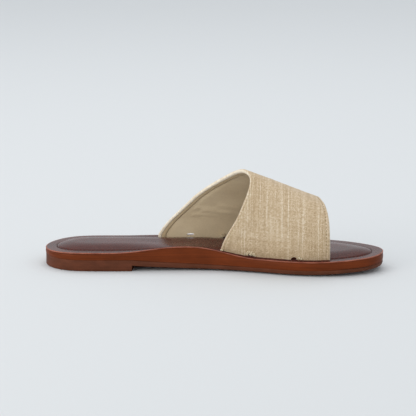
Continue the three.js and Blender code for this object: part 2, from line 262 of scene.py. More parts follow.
    def across(self, x, y):
        """How far across the sole a point is: -1 at the medial edge, 0 on the axis, 1 at the lateral edge."""
        edge = np.where(y < 0, self.edge_y(x, Side.MEDIAL), self.edge_y(x, Side.LATERAL))
        return np.clip(y / np.maximum(np.abs(edge), self.safe_half_width), -1, 1)

    def distance_in(self, points: np.ndarray) -> np.ndarray:
        """Each point's distance from the outline, for points as rows of the last's own x and y."""
        start = self.outline(self.probe_points)
        step = np.roll(start, -1, axis=0) - start
        nearest = []
        for group in np.array_split(points[:, :2], max(1, len(points) // self.probe_group)):
            gap = group[:, None, :] - start[None]
            share = np.clip(np.sum(gap * step, axis=2) / np.sum(step * step, axis=1), 0, 1)
            nearest.append(np.linalg.norm(gap - share[..., None] * step, axis=2).min(axis=1))
        return np.concatenate(nearest)

    def toe_lift(self, x):
        """How far the toe stands off the floor at x."""
        share = np.clip((x / self.length - self.tread_end) / (1 - self.tread_end), 0, 1)
        return self.toe_spring * share**self.toe_power

    def underside(self, x):
        """The underside of the outsole's plate, without the heel block."""
        breast = self.heel_block_length / self.length
        share = np.clip((x / self.length - breast) / (self.tread_start - breast), 0, 1)
        return self.heel_lift * (1 - share) ** 2 + self.toe_lift(x)

    def arch(self, x):
        """The arch's height along the sole, from 0 to 1."""
        at = x / self.length
        end = np.where(at < self.arch_peak, self.arch_start, self.arch_end)
        half = np.clip((at - end) / (self.arch_peak - end), 0, 1)
        return np.sin(half * np.pi / 2) ** 2

    def footbed(self, x, y):
        """The top of the insole's flat margin, which the padding and the groove are measured from."""
        at = x / self.length
        share = self.across(x, y)
        layers = self.outsole_thickness + 2 * self.layer_gap + self.insole_edge
        fall = smoothstep(at, self.seat_end, self.tread_start)
        seat = layers + lerp(self.heel_lift + self.midsole_at_heel, self.midsole_at_ball, fall)
        back = self.heel_back_drop * (1 - np.clip(at / self.heel_back_end, 0, 1)) ** 2
        rise = self.arch_rise * np.maximum(-share, 0) ** self.arch_power
        rise = rise + self.outer_rise * np.maximum(share, 0) ** 2
        cup = self.cup_depth * (1 - share**2)
        return seat - back + self.toe_lift(x) + self.arch(x) * (rise - cup)


@dataclass(frozen=True)
class StrapForm:
    """The strap's outer face. u runs over the foot from medial to lateral base, v from rear to front."""

    last: Last
    instep_rise: float = 62.8 * MM
    toe_opening_rise: float = 40.9 * MM
    crown: float = 0.5 * MM
    slot_inset: float = 4.2 * MM
    leg_stand: float = 1.4 * MM
    leg_length: float = 5.1 * MM
    base_power: float = 1.8
    crown_power: float = 0.7
    normal_step: float = 0.002
    level_share: float = 0.03
    fine_points: int = 2001

    lines = {
        Edge.REAR: StrapLine(0.524, 0.58, 0.608, 0.591, 0.534, 0.427, 0.326),
        Edge.FRONT: StrapLine(0.845, 0.842, 0.835, 0.819, 0.781, 0.748, 0.731),
    }
    sections = {
        Edge.REAR: StrapSection(0.34, 0.363, -0.035, 2.1),
        Edge.FRONT: StrapSection(0.447, 0.45, -0.069, 2.75),
    }

    def edge_x(self, edge: Edge, u):
        """The x of one cut edge at u, on a smooth curve through its line's columns.

        Below the first and the last column the edge runs straight down with the strap's height.
        """
        columns = np.array(self.lines[edge]) * self.last.length
        last = len(columns) - 1
        near = np.minimum(u, 1 - u).clip(0)
        power = 2 / self.sections[edge].squareness
        climb = (np.sin(np.pi * near) / math.sin(math.pi / last)) ** power
        near = np.where(near * last < 1, climb, near * last)
        place = np.where(u < 0.5, near, last - near)
        first = np.minimum(place.astype(int), last - 1)
        share = place - first
        a, b, c, d = (columns[np.clip(first + step, 0, last)] for step in (-1, 0, 1, 2))
        return hermite(b, c, (c - a) / 2, (d - b) / 2, share)

    def width(self, u):
        """The distance from the rear edge to the front edge at u."""
        return self.edge_x(Edge.FRONT, u) - self.edge_x(Edge.REAR, u)

    def mix(self, column: str, v):
        """A column of the sections' table at v."""
        rear, front = (getattr(self.sections[edge], column) for edge in (Edge.REAR, Edge.FRONT))
        return lerp(rear, front, v)

    def point(self, u: np.ndarray, v: np.ndarray) -> np.ndarray:
        """Points of the outer face in the last's own axes, one for each pair of u and v."""
        last = self.last
        u, v = np.broadcast_arrays(np.asarray(u, float), np.asarray(v, float))
        lateral = u >= 0.5
        side = np.where(lateral, 1.0, -1.0)
        power = 2 / self.mix("squareness", v)
        rise = np.sin(np.pi * u).clip(0) ** power
        spread = np.abs(np.cos(np.pi * u)) ** power
        wall = np.where(lateral, self.mix("lateral_wall", v), self.mix("medial_wall", v))
        wall_y = side * wall * last.ball_width
        end = np.where(lateral, 1.0, 0.0)
        base_x = lerp(self.edge_x(Edge.REAR, end), self.edge_x(Edge.FRONT, end), v)
        edge = np.where(lateral, last.edge_y(base_x, Side.LATERAL), last.edge_y(base_x, Side.MEDIAL))
        base_y = edge - side * self.slot_inset
        base_z = last.footbed(base_x, base_y) + self.leg_stand
        middle = np.full_like(u, 0.5)
        ridge_x = lerp(self.edge_x(Edge.REAR, middle), self.edge_x(Edge.FRONT, middle), v)
        ridge_z = last.footbed(ridge_x, np.zeros_like(u)) + lerp(self.instep_rise, self.toe_opening_rise, v)
        crown = self.crown * np.sin(np.pi * np.clip(v, 0, 1) ** self.crown_power)
        to_base = (base_y - wall_y) * (1 - rise) ** self.base_power
        x = lerp(self.edge_x(Edge.REAR, u), self.edge_x(Edge.FRONT, u), v)
        y = lerp(self.mix("ridge", v) * last.ball_width, wall_y, spread) + to_base
        y = y + side * crown * spread * rise
        return np.stack([x, y, lerp(base_z, ridge_z + crown, rise)], axis=-1)

    def outward(self, u: np.ndarray, v: np.ndarray) -> np.ndarray:
        """The outer face's unit normals, level where the strap goes down into its slots."""
        u, v = np.broadcast_arrays(np.asarray(u, float), np.asarray(v, float))
        step = self.normal_step
        along = self.point(u, np.minimum(v + step, 1)) - self.point(u, np.maximum(v - step, 0))
        over = self.point(np.minimum(u + step, 1), v) - self.point(np.maximum(u - step, 0), v)
        upright = np.zeros_like(over)
        upright[..., 2] = np.where(u < 0.5, 1.0, -1.0)
        free = smoothstep(np.minimum(u, 1 - u), 0.0, self.level_share)[..., None]
        return unit(lerp(unit(np.cross(along, upright)), unit(np.cross(along, over)), free))

    def rows(self, spacing: float) -> np.ndarray:
        """The values of u at about equal distances over the foot along the strap's middle."""
        fine = np.linspace(0, 1, self.fine_points)
        along = run(self.point(fine, np.full_like(fine, 0.5)))
        return np.interp(np.linspace(0, along[-1], int(along[-1] / spacing)), along, fine)


def linear(code: str) -> tuple[float, float, float, float]:
    """Turns an sRGB hex value into a linear colour."""
    parts = [int(code[k : k + 2], 16) / 255 for k in (1, 3, 5)]
    light = [c / 12.92 if c <= 0.04045 else ((c + 0.055) / 1.055) ** 2.4 for c in parts]
    return (*light, 1.0)


def add_node(tree: bpy.types.NodeTree, kind: str, settings: dict, inputs: dict) -> bpy.types.Node:
    """Adds a node to a tree.

    Args:
        tree: The node tree.
        kind: The node's type, without the words ShaderNode.
        settings: The node's own settings by name.
        inputs: A value or a socket to link for each input, by its name or number.

    Returns:
        The node.
    """
    node = tree.nodes.new("ShaderNode" + kind)
    for name, value in settings.items():
        setattr(node, name, value)
    for name, value in inputs.items():
        if isinstance(value, bpy.types.NodeSocket):
            tree.links.new(value, node.inputs[name])
        else:
            node.inputs[name].default_value = value
    return node


def ramp(tree: bpy.types.NodeTree, factor: bpy.types.NodeSocket, stops: dict[float, str]):
    """Adds a colour ramp with a hex colour at each stop and returns its colour socket."""
    node = add_node(tree, "ValToRGB", {}, {"Fac": factor})
    elements = node.color_ramp.elements
    places = sorted(stops)
    for _ in places[2:]:
        elements.new(0.5)
    for element, place in zip(elements, places):
        element.position = place
        element.color = linear(stops[place])
    return node.outputs["Color"]


class Surface:
    """A new material with its shader and the few chains of nodes that every finish uses."""

    def __init__(self, name: str, attribute: str | None = None) -> None:
        """Starts the material on Object coordinates, or on the piece's own attribute."""
        self.material = bpy.data.materials.new(name)
        self.material.use_nodes = True
        self.tree = self.material.node_tree
        self.shader = self.tree.nodes["Principled BSDF"]
        if attribute is None:
            self.place = add_node(self.tree, "TexCoord", {}, {}).outputs["Object"]
        else:
            settings = {"attribute_name": attribute, "attribute_type": "GEOMETRY"}
            self.place = add_node(self.tree, "Attribute", settings, {}).outputs["Vector"]

    def set(self, **values) -> None:
        """Sets the shader's own sockets, whose names are given with low lines for spaces."""
        for name, value in values.items():
            socket = self.shader.inputs[name.replace("_", " ")]
            if isinstance(value, bpy.types.NodeSocket):
                self.tree.links.new(value, socket)
            else:
                socket.default_value = value

    def math(self, operation: str, first, second=0.0) -> bpy.types.NodeSocket:
        """Adds a sum and returns its result."""
        return add_node(self.tree, "Math", {"operation": operation}, {0: first, 1: second}).outputs[0]

    def weighted(self, *pairs: tuple[bpy.types.NodeSocket, float]) -> bpy.types.NodeSocket:
        """Adds up values, each times its weight."""
        terms = [self.math("MULTIPLY", value, weight) for value, weight in pairs]
        total = terms[0]
        for term in terms[1:]:
            total = self.math("ADD", total, term)
        return total

    def parts(self, vector: bpy.types.NodeSocket) -> bpy.types.NodeOutputs:
        """Splits a vector into its X, Y and Z."""
        return add_node(self.tree, "SeparateXYZ", {}, {"Vector": vector}).outputs

    def vector(self, x, y) -> bpy.types.NodeSocket:
        """Puts a vector together from its x and y."""
        return add_node(self.tree, "CombineXYZ", {}, {0: x, 1: y}).outputs[0]

    def noise_at(self, vector: bpy.types.NodeSocket, detail: float) -> bpy.types.NodeSocket:
        """Adds noise over a vector whose blotches measure about 1."""
        inputs = {"Vector": vector, "Scale": 1.0, "Detail": detail}
        return add_node(self.tree, "TexNoise", {}, inputs).outputs["Fac"]

    def noise(self, size: tuple[float, float, float], detail: float = 3.0) -> bpy.types.NodeSocket:
        """Adds noise whose blotches measure about size in metres and returns its value."""
        scale = tuple(1 / length for length in size)
        mapping = add_node(self.tree, "Mapping", {}, {"Vector": self.place, "Scale": scale})
        return self.noise_at(mapping.outputs[0], detail)

    def cells(self, size: float) -> bpy.types.NodeSocket:
        """Adds pebbles about size across and returns the distance from each one's middle."""
        inputs = {"Vector": self.place, "Scale": 1 / size}
        return add_node(self.tree, "TexVoronoi", {}, inputs).outputs["Distance"]

    def bump(self, heights: Sequence[tuple[bpy.types.NodeSocket, float, float]]) -> None:
        """Stacks bumps on the shader's normal, each a height, a depth in metres and a strength."""
        normal = None
        for height, depth, strength in heights:
            inputs = {"Height": height, "Distance": depth, "Strength": strength}
            if normal is not None:
                inputs["Normal"] = normal
            normal = add_node(self.tree, "Bump", {}, inputs).outputs["Normal"]
        self.tree.links.new(normal, self.shader.inputs["Normal"])


@dataclass(frozen=True)
class MouldedRubber:
    """Brown rubber, moulded and left dull. A soft mottle and faint level lines show on its sides."""

    dark: str = "#4d2c1d"
    light: str = "#6e3e2b"
    rib_pitch: float = 2.4 * MM

    def material(self, ribbed: bool) -> bpy.types.Material:
        """Builds the side's finish, or the ribbed underside's."""
        surface = Surface("moulded_rubber_tread" if ribbed else "moulded_rubber")
        lines = surface.noise((60 * MM, 60 * MM, 0.7 * MM), detail=2)
        mottle = surface.noise((9 * MM, 9 * MM, 4 * MM), detail=5)
        both = surface.weighted((lines, 0.45), (mottle, 0.55))
        colour = ramp(surface.tree, both, {0.3: self.dark, 0.72: self.light})
        surface.set(Base_Color=colour, Roughness=0.55, IOR=1.2)
        bumps = [(surface.noise((0.6 * MM, 0.6 * MM, 0.6 * MM)), 0.06 * MM, 0.5)]
        if ribbed:
            turn = surface.math("MULTIPLY", surface.parts(surface.place)["X"], 2 * math.pi / self.rib_pitch)
            bumps.append((surface.math("SINE", turn), 0.5 * MM, 0.8))
        surface.bump(bumps)
        return surface.material


@dataclass(frozen=True)
class BurnishedMidsole:
    """Orange-brown layered board, cut, dyed and burnished. Faint level streaks run under a low gloss."""

    dark: str = "#55260f"
    light: str = "#7a3818"

    def material(self) -> bpy.types.Material:
        """Builds the finish."""
        surface = Surface("burnished_leatherboard")
        streaks = surface.noise((45 * MM, 45 * MM, 0.8 * MM), detail=3)
        cloud = surface.noise((22 * MM, 22 * MM, 10 * MM), detail=3)
        both = surface.weighted((streaks, 0.5), (cloud, 0.5))
        surface.set(Base_Color=ramp(surface.tree, both, {0.32: self.dark, 0.7: self.light}))
        surface.set(Roughness=0.45, IOR=1.18)
        surface.bump([(streaks, 0.05 * MM, 0.35), (surface.noise((0.4 * MM,) * 3), 0.03 * MM, 0.4)])
        return surface.material


@dataclass(frozen=True)
class FootbedLeather:
    """Dark brown finished leather, smooth and waxed. Fine pebbles break a broad, soft, pale gloss."""

    dark: str = "#3a1813"
    light: str = "#57271f"
    grain: float = 0.8 * MM

    def material(self) -> bpy.types.Material:
        """Builds the finish."""
        surface = Surface("waxed_footbed_leather")
        cloud = surface.noise((28 * MM, 20 * MM, 20 * MM), detail=4)
        fine = surface.noise((2.2 * MM,) * 3, detail=4)
        both = surface.weighted((cloud, 0.6), (fine, 0.4))
        surface.set(Base_Color=ramp(surface.tree, both, {0.3: self.dark, 0.72: self.light}))
        worn = surface.math("ADD", surface.math("MULTIPLY", fine, 0.14), 0.2)
        surface.set(Roughness=worn, IOR=1.22)
        surface.bump([(surface.cells(self.grain), 0.06 * MM, 0.35), (cloud, 0.5 * MM, 0.25)])
        return surface.material


@dataclass(frozen=True)
class EdgePaint:
    """Brick-red edge paint over cut leather, coloured lighter than the midsole below: partly its own colour
    and partly a painted highlight on the bead. It stands as a thin, rounded, half-glossy bead.
    """

    dark: str = "#7f4331"
    light: str = "#a3614b"

    def material(self) -> bpy.types.Material:
        """Builds the finish."""
        surface = Surface("painted_leather_edge")
        patches = surface.noise((6 * MM, 6 * MM, 2 * MM), detail=4)
        surface.set(Base_Color=ramp(surface.tree, patches, {0.35: self.dark, 0.65: self.light}))
        surface.set(Roughness=0.5, IOR=1.35)
        surface.bump([(surface.noise((0.5 * MM,) * 3), 0.05 * MM, 0.5)])
        return surface.material


@dataclass(frozen=True)
class SlubLinen:
    """Undyed linen in plain weave with thick and thin yarns. Pale slubs run up a finely speckled ground."""

    shade: str = "#a78d6a"
    ground: str = "#c8b191"
    pale: str = "#efe4cf"
    yarn_pitch: float = 0.75 * MM
    slub_length: float = 70 * MM
    # Painted highlight: the linen is coloured paler over this depth under the outer face, so the rolled edges
    # read as lit.
    fold_highlight_depth: float = 1.3 * MM
    # Painted shade: the linen is coloured darker below these heights, towards the sole.
    painted_shade_low: float = 11 * MM
    painted_shade_high: float = 30 * MM
    yarn_apart: float = 3.7
    slub_least: float = 0.56
    darkening: float = 0.2

    weights = {
        # Painted shade, darker towards the sole.
        "painted_height_shade": 0.1,
        "speck": 0.24,
        "warp": 0.4,
        "slub": 0.5,
        "weft": 0.24,
        "cloud": 0.12,
        # Painted shade between the yarns.
        "weave": 0.12,
        # Painted highlight on the rolled edges.
        "fold": 0.42,
    }

    def material(self) -> bpy.types.Material:
        """Builds the finish on the cloth attribute, whose x runs across the yarns that go over the foot."""
        surface = Surface("slub_linen_plain_weave", attribute="cloth")
        tree, add = surface.tree, surface.math
        drift = surface.noise((14 * MM, 30 * MM, 30 * MM), detail=2)
        cloth = surface.parts(surface.place)
        shift = add("MULTIPLY", add("SUBTRACT", drift, 0.5), 2 * self.yarn_pitch)
        across = add("DIVIDE", add("ADD", cloth["X"], shift), self.yarn_pitch)
        along = add("DIVIDE", cloth["Y"], self.yarn_pitch)
        warp_yarn, weft_yarn = add("FLOOR", across), add("FLOOR", along)
        heights = []
        for place, yarn, other, other_yarn, turn in (
            (across, warp_yarn, along, weft_yarn, -0.5),
            (along, weft_yarn, across, warp_yarn, 0.5),
        ):
            round_yarn = add("SINE", add("MULTIPLY", add("SUBTRACT", place, yarn), math.pi))
            wave = add("COSINE", add("MULTIPLY", add("ADD", add("ADD", other, yarn), turn), math.pi))
            heights.append(add("MULTIPLY", round_yarn, add("ADD", add("MULTIPLY", wave, 0.5), 0.5)))
        # The weave's height also enters the colour below: painted shade in the crevices between the yarns.
        weave = add("MAXIMUM", heights[0], heights[1])
        stretch = self.yarn_pitch / self.slub_length
        warp_run, weft_run = add("MULTIPLY", along, stretch), add("MULTIPLY", across, 2 * stretch)
        warp_row, weft_row = (add("MULTIPLY", yarn, self.yarn_apart) for yarn in (warp_yarn, weft_yarn))
        places = (surface.vector(warp_row, warp_run), surface.vector(weft_run, weft_row))
        warp, weft = (surface.noise_at(place, detail=1.0) for place in places)
        cell = surface.vector(warp_yarn, weft_yarn)
        speck = add_node(tree, "TexWhiteNoise", {"noise_dimensions": "2D"}, {"Vector": cell}).outputs["Value"]
        slub = add("MAXIMUM", add("SUBTRACT", warp, self.slub_least), 0.0)
        cloud = surface.noise((16 * MM, 22 * MM, 22 * MM), detail=3)
        # Painted highlight: the colour is paler with depth under the outer face, on the rolled edges that
        # turn up into the light.
        fold = add("MINIMUM", add("DIVIDE", cloth["Z"], self.fold_highlight_depth), 1.0)
        # Painted shade: the colour grows darker towards the bottom of the strap, from 30 mm down to 11 mm
        # over the floor.
        height = surface.parts(add_node(tree, "TexCoord", {}, {}).outputs["Object"])["Z"]
        ranges = {"From Min": self.painted_shade_low, "From Max": self.painted_shade_high, "To Min": 0.0, "To Max": 1.0}
        painted_height_shade = add_node(tree, "MapRange", {}, {"Value": height, **ranges}).outputs["Result"]
        layers = (painted_height_shade, speck, warp, slub, weft, cloud, weave, fold)
        mixed = add("SUBTRACT", surface.weighted(*zip(layers, self.weights.values())), self.darkening)
        colour = ramp(tree, mixed, {0.22: self.shade, 0.5: self.ground, 0.95: self.pale})
        surface.set(Base_Color=colour, Roughness=0.88, IOR=1.5)
        surface.set(Sheen_Weight=0.1, Sheen_Roughness=0.5)
        surface.bump([(add("ADD", slub, add("MULTIPLY", weft, 0.3)), 0.5 * MM, 0.4), (weave, 0.25 * MM, 0.6)])
        return surface.material


@dataclass(frozen=True)
class LiningCloth:
    """Khaki brushed cotton. It is matt and even, with a thread too fine to see."""

    name: str = "brushed_cotton_lining"
    dark: str = "#c5b08e"
    light: str = "#dac7a5"

    def material(self) -> bpy.types.Material:
        """Builds the finish."""
        surface = Surface(self.name)
        cloud = surface.noise((14 * MM, 14 * MM, 9 * MM), detail=4)
        thread = surface.noise((1.2 * MM, 1.2 * MM, 0.5 * MM), detail=2)
        both = surface.weighted((cloud, 0.6), (thread, 0.4))
        surface.set(Base_Color=ramp(surface.tree, both, {0.3: self.dark, 0.7: self.light}))
        surface.set(Roughness=0.8, IOR=1.5, Sheen_Weight=0.1)
        surface.bump([(thread, 0.12 * MM, 0.5)])
        return surface.material


@dataclass(frozen=True)
class SewingThread:
    """Twisted, bonded thread. It is round and a little glossy, with a slanting twist."""

    name: str
    dark: str
    light: str

    def material(self) -> bpy.types.Material:
        """Builds the finish."""
        surface = Surface(self.name)
        twist = surface.noise((0.5 * MM,) * 3, detail=2)
        surface.set(Base_Color=ramp(surface.tree, twist, {0.35: self.dark, 0.65: self.light}))
        surface.set(Roughness=0.55, IOR=1.5)
        surface.bump([(twist, 0.1 * MM, 0.6)])
        return surface.material


def start_primitive() -> None:
    """Leaves edit mode and deselects everything, so that an operator acts on the new primitive alone."""
    if bpy.context.object is not None and bpy.context.object.mode != "OBJECT":
        bpy.ops.object.mode_set(mode="OBJECT")
    bpy.ops.object.select_all(action="DESELECT")


def select_only(piece: bpy.types.Object) -> None:
    """Makes a piece the only selected object, and the active one."""
    start_primitive()
    piece.select_set(True)
    bpy.context.view_layer.objects.active = piece


def tidy_mesh(piece: bpy.types.Object, smooth_degrees: float) -> None:
    """Merges doubles, turns the faces outwards and smooths what is flatter than an angle."""
    select_only(piece)
    bpy.ops.object.mode_set(mode="EDIT")
    bpy.ops.mesh.select_all(action="SELECT")
    bpy.ops.mesh.remove_doubles(threshold=MERGE)
    bpy.ops.mesh.normals_make_consistent(inside=False)
    bpy.ops.object.mode_set(mode="OBJECT")
    bpy.ops.object.shade_smooth_by_angle(angle=math.radians(smooth_degrees))


def extruded(name: str, rings: np.ndarray) -> bpy.types.Object:
    """Extrudes a filled circle from ring to ring, as by hand, with the caps triangulated.

    Args:
        name: The new object's name.
        rings: The rings, each as long as the others, as an array of rings, points and x, y, z in metres.

    Returns:
        The closed object.
    """
    start_primitive()
    count = rings.shape[1]
    bpy.ops.mesh.primitive_circle_add(vertices=count, radius=1, fill_type="NGON")
    piece = bpy.context.object
    piece.name = piece.data.name = name
    station = piece.data.attributes.new("station", "INT", "POINT")
    station.data.foreach_set("value", range(count))
    piece.data.vertices.foreach_set("co", rings[0].ravel())
    bpy.ops.object.mode_set(mode="EDIT")
    bpy.ops.mesh.select_all(action="SELECT")
    for ring in rings[1:]:
        bpy.ops.mesh.extrude_region_move()
        mesh = bmesh.from_edit_mesh(piece.data)
        layer = mesh.verts.layers.int["station"]
        for vertex in mesh.verts:
            if vertex.select:
                vertex.co = ring[vertex[layer]]
        bmesh.update_edit_mesh(piece.data)
    bpy.ops.mesh.select_all(action="DESELECT")
    bpy.ops.mesh.select_face_by_sides(number=4, type="GREATER")
    bpy.ops.mesh.quads_convert_to_tris(ngon_method="BEAUTY")
    bpy.ops.object.mode_set(mode="OBJECT")
    piece.data.attributes.remove(piece.data.attributes["station"])
    return piece


def rolled_sheet(
    name: str, rows: np.ndarray, cloth: np.ndarray | None = None, turned_in: np.ndarray | None = None
) -> bpy.types.Object:
    """Lays a grid primitive through closed rows, so that it is a tube, and fills its two ends.

    Args:
        name: The new object's name.
        rows: The rows, as an array of rows, points and x, y, z in metres. Each row is a closed loop.
        cloth: A place on the flat cloth for each point, kept as the attribute that its weave follows.
        turned_in: 1 for each point of a row that lies on the turned-in hem and 0 for the others.

    Returns:
        The closed object.
    """
    start_primitive()
    count, size = rows.shape[0], rows.shape[1]
    bpy.ops.mesh.primitive_grid_add(x_subdivisions=size, y_subdivisions=count - 1)
    piece = bpy.context.object
    piece.name = piece.data.name = name
    closed = np.concatenate([rows, rows[:, :1]], axis=1)
    piece.data.vertices.foreach_set("co", closed.ravel())
    if cloth is not None:
        attribute = piece.data.attributes.new("cloth", "FLOAT_VECTOR", "POINT")
        attribute.data.foreach_set("vector", np.concatenate([cloth, cloth[:, :1]], axis=1).ravel())
    if turned_in is not None:
        attribute = piece.data.attributes.new("turned_in", "FLOAT", "POINT")
        attribute.data.foreach_set("value", np.tile(np.append(turned_in, turned_in[0]), count))
    bpy.ops.object.mode_set(mode="EDIT")
    bpy.ops.mesh.select_all(action="SELECT")
    bpy.ops.mesh.remove_doubles(threshold=MERGE)
    bpy.ops.mesh.select_all(action="DESELECT")
    bpy.ops.mesh.select_non_manifold(extend=False)
    bpy.ops.mesh.fill(use_beauty=True)
    bpy.ops.object.mode_set(mode="OBJECT")
    return piece


def cut(piece: bpy.types.Object, cutters: Sequence[bpy.types.Object]) -> None:
    """Cuts a piece with other objects, by applied boolean modifiers, and deletes them afterwards."""
    for cutter in cutters:
        select_only(piece)
        bpy.ops.object.modifier_add(type="BOOLEAN")
        modifier = piece.modifiers[-1]
        modifier.operation, modifier.solver, modifier.object = "DIFFERENCE", "EXACT", cutter
        bpy.ops.object.modifier_apply(modifier=modifier.name)
        bpy.data.objects.remove(cutter)


def joined(name: str, pieces: Sequence[bpy.types.Object]) -> bpy.types.Object:
    """Joins objects into one with a name."""
    start_primitive()
    for piece in pieces:
        piece.select_set(True)
    bpy.context.view_layer.objects.active = pieces[0]
    bpy.ops.object.join()
    pieces[0].name = pieces[0].data.name = name
    return pieces[0]


def copies(template: bpy.types.Object, places: Sequence[Matrix], name: str) -> bpy.types.Object:
    """Copies a small shape to each place, each copy with its own mesh, and joins them into one piece."""
    pieces = []
    for place in places:
        copy = bpy.data.objects.new(name, template.data.copy())
        copy.data.transform(place)
        bpy.context.collection.objects.link(copy)
        pieces.append(copy)
    bpy.data.objects.remove(template)
    return joined(name, pieces)


def dress(piece: bpy.types.Object, materials: Sequence[bpy.types.Material], slot: str, *nodes: str) -> None:
    """Gives a finished piece its materials and its body, and hides the CAD nodes that it stands for."""
    for material in materials:
        piece.data.materials.append(material)
    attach(piece, "root")
    if nodes:
        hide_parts(*nodes)
    LOG.info("%s: %d vertices, %d faces", piece.name, len(piece.data.vertices), len(piece.data.polygons))


def paint_faces(piece: bpy.types.Object, index: int, chosen: np.ndarray) -> None:
    """Gives the chosen faces of a piece the material at an index."""
    indices = np.zeros(len(piece.data.polygons), np.int32)
    piece.data.polygons.foreach_get("material_index", indices)
    indices[chosen] = index
    piece.data.polygons.foreach_set("material_index", indices)


def face_values(piece: bpy.types.Object, what: str) -> np.ndarray:
    """The centre or the normal of each of a piece's faces, one a row."""
    values = np.zeros(3 * len(piece.data.polygons), np.float32)
    piece.data.polygons.foreach_get(what, values)
    return values.reshape(-1, 3)


def face_means(piece: bpy.types.Object, attribute: str) -> np.ndarray:
    """The mean of a point attribute over each of a piece's faces."""
    mesh = piece.data
    values = np.zeros(len(mesh.vertices), np.float32)
    mesh.attributes[attribute].data.foreach_get("value", values)
    corners, starts, totals = (np.zeros(n, np.int32) for n in (len(mesh.loops), *(len(mesh.polygons),) * 2))
    mesh.loops.foreach_get("vertex_index", corners)
    mesh.polygons.foreach_get("loop_start", starts)
    mesh.polygons.foreach_get("loop_total", totals)
    return np.add.reduceat(values[corners], starts) / totals


@dataclass(frozen=True)
class SoleRings:
    """Closed rings in from the outline, which a layer of the sole is extruded through."""

    last: Last
    count: int = 336

    @cached_property
    def rim(self) -> tuple[np.ndarray, np.ndarray]:
        """The outline's points and their inward normals."""
        points = self.last.outline(self.count)
        along = unit(np.roll(points, -1, axis=0) - np.roll(points, 1, axis=0))
        return points, np.stack([-along[:, 1], along[:, 0]], axis=1)

    def inset(self, distance: float) -> np.ndarray:
        """The ring at a distance in from the outline."""
        points, inward = self.rim
        return points + inward * distance

    def drawn_in(self, distance: float, share: float) -> np.ndarray:
        """The ring at a distance in, drawn in from there towards the centre line by a share of the way."""
        ring = self.inset(distance)
        ends = self.last.heel_width / 2
        x = np.clip(ring[:, 0], ends, self.last.length - ends)
        return lerp(ring, np.stack([x, self.last.middle_y(x)], axis=1), share)

    def raised(self, ring: np.ndarray, height: Callable) -> np.ndarray:
        """A flat ring with its heights, in the row frame."""
        z = np.broadcast_to(height(ring[:, 0], ring[:, 1]), len(ring))
        return self.last.place(np.column_stack([ring, z]))


@dataclass(frozen=True)
class Outsole:
    """The rubber outsole with its low heel in one moulding."""

    last: Last
    rubber: MouldedRubber = MouldedRubber()
    edge_round: float = 0.8 * MM
    front_edge_round: float = 1.9 * MM
    rim_rise: float = 0.9 * MM
    rim_width: float = 10 * MM
    top_bevel: float = 0.25 * MM
    breast_run: float = 0.15 * MM
    tread_slope: float = -0.9

    shares = (0, 0.35, 0.7, 0.97)

    def rings(self) -> np.ndarray:
        """The rings from the underside's middle, round the side, to the top's middle."""
        last = self.last
        breast = last.heel_block_length
        points, inward = SoleRings(last).rim
        extra = [(x, side) for side in Side for x in (breast, breast + self.breast_run)]
        added = np.array([[x, last.edge_y(x, side)] for x, side in extra])
        turned = np.array([[0, -side.value] for _, side in extra])
        heel = int(np.argmin(points[:, 0]))
        points, inward = (np.roll(array, -heel, axis=0) for array in (points, inward))
        toe = int(np.argmax(points[:, 0]))
        order = np.concatenate([points[: toe + 1, 0], 2 * last.length - points[toe + 1 :, 0]])
        added_order = np.where(turned[:, 1] > 0, added[:, 0], 2 * last.length - added[:, 0])
        at = np.argsort(np.concatenate([order, added_order]), kind="stable")
        points = np.vstack([points, added])[at]
        inward = np.vstack([inward, turned])[at]

        def ring(distance: float | np.ndarray, share: float, height: Callable) -> np.ndarray:
            """One ring at a distance in, narrowed by a share, at its heights."""
            flat = points + inward * np.broadcast_to(distance, len(points))[:, None]
            flat[:, 1] = lerp(flat[:, 1], last.middle_y(flat[:, 0]), share)
            return last.place(np.column_stack([flat, height(points[:, 0])]))

        def under(x: np.ndarray) -> np.ndarray:
            """The underside with the heel block standing on the floor."""
            return np.where(x < breast + self.breast_run / 2, 0.0, last.underside(x))

        def top(x: np.ndarray) -> np.ndarray:
            """The top, which the midsole lies on."""
            return last.underside(x) + last.outsole_thickness

        def forward(x: np.ndarray) -> np.ndarray:
            """0 over the heel block and 1 from where the tread meets the floor again."""
            return smoothstep(x, breast, last.tread_start * last.length)

        def rim(x: np.ndarray) -> np.ndarray:
            """The underside at its rim, which slopes up off the floor under the ball and the toe."""
            return under(x) + self.rim_rise * forward(x)

        turn = lerp(self.edge_round, self.front_edge_round, forward(points[:, 0]))
        soft = turn * (1 - math.sqrt(0.5))
        return np.array(
            [ring(self.rim_width, share, under) for share in reversed(self.shares)]
            + [
                ring(turn, 0, rim),
                ring(soft, 0, lambda x: rim(x) + soft),
                ring(0, 0, lambda x: rim(x) + turn),
                ring(0, 0, lambda x: top(x) - self.top_bevel),
            ]
            + [ring(self.top_bevel, share, top) for share in self.shares]
        )

    def build(self) -> bpy.types.Object:
        """Extrudes the outsole and dresses it."""
        piece = extruded("rubber_outsole", self.rings())
        tidy_mesh(piece, smooth_degrees=38)
        dress(piece, [self.rubber.material(False), self.rubber.material(True)], "outsole", "outsole")
        paint_faces(piece, 1, face_values(piece, "normal")[:, 2] < self.tread_slope)
        return piece


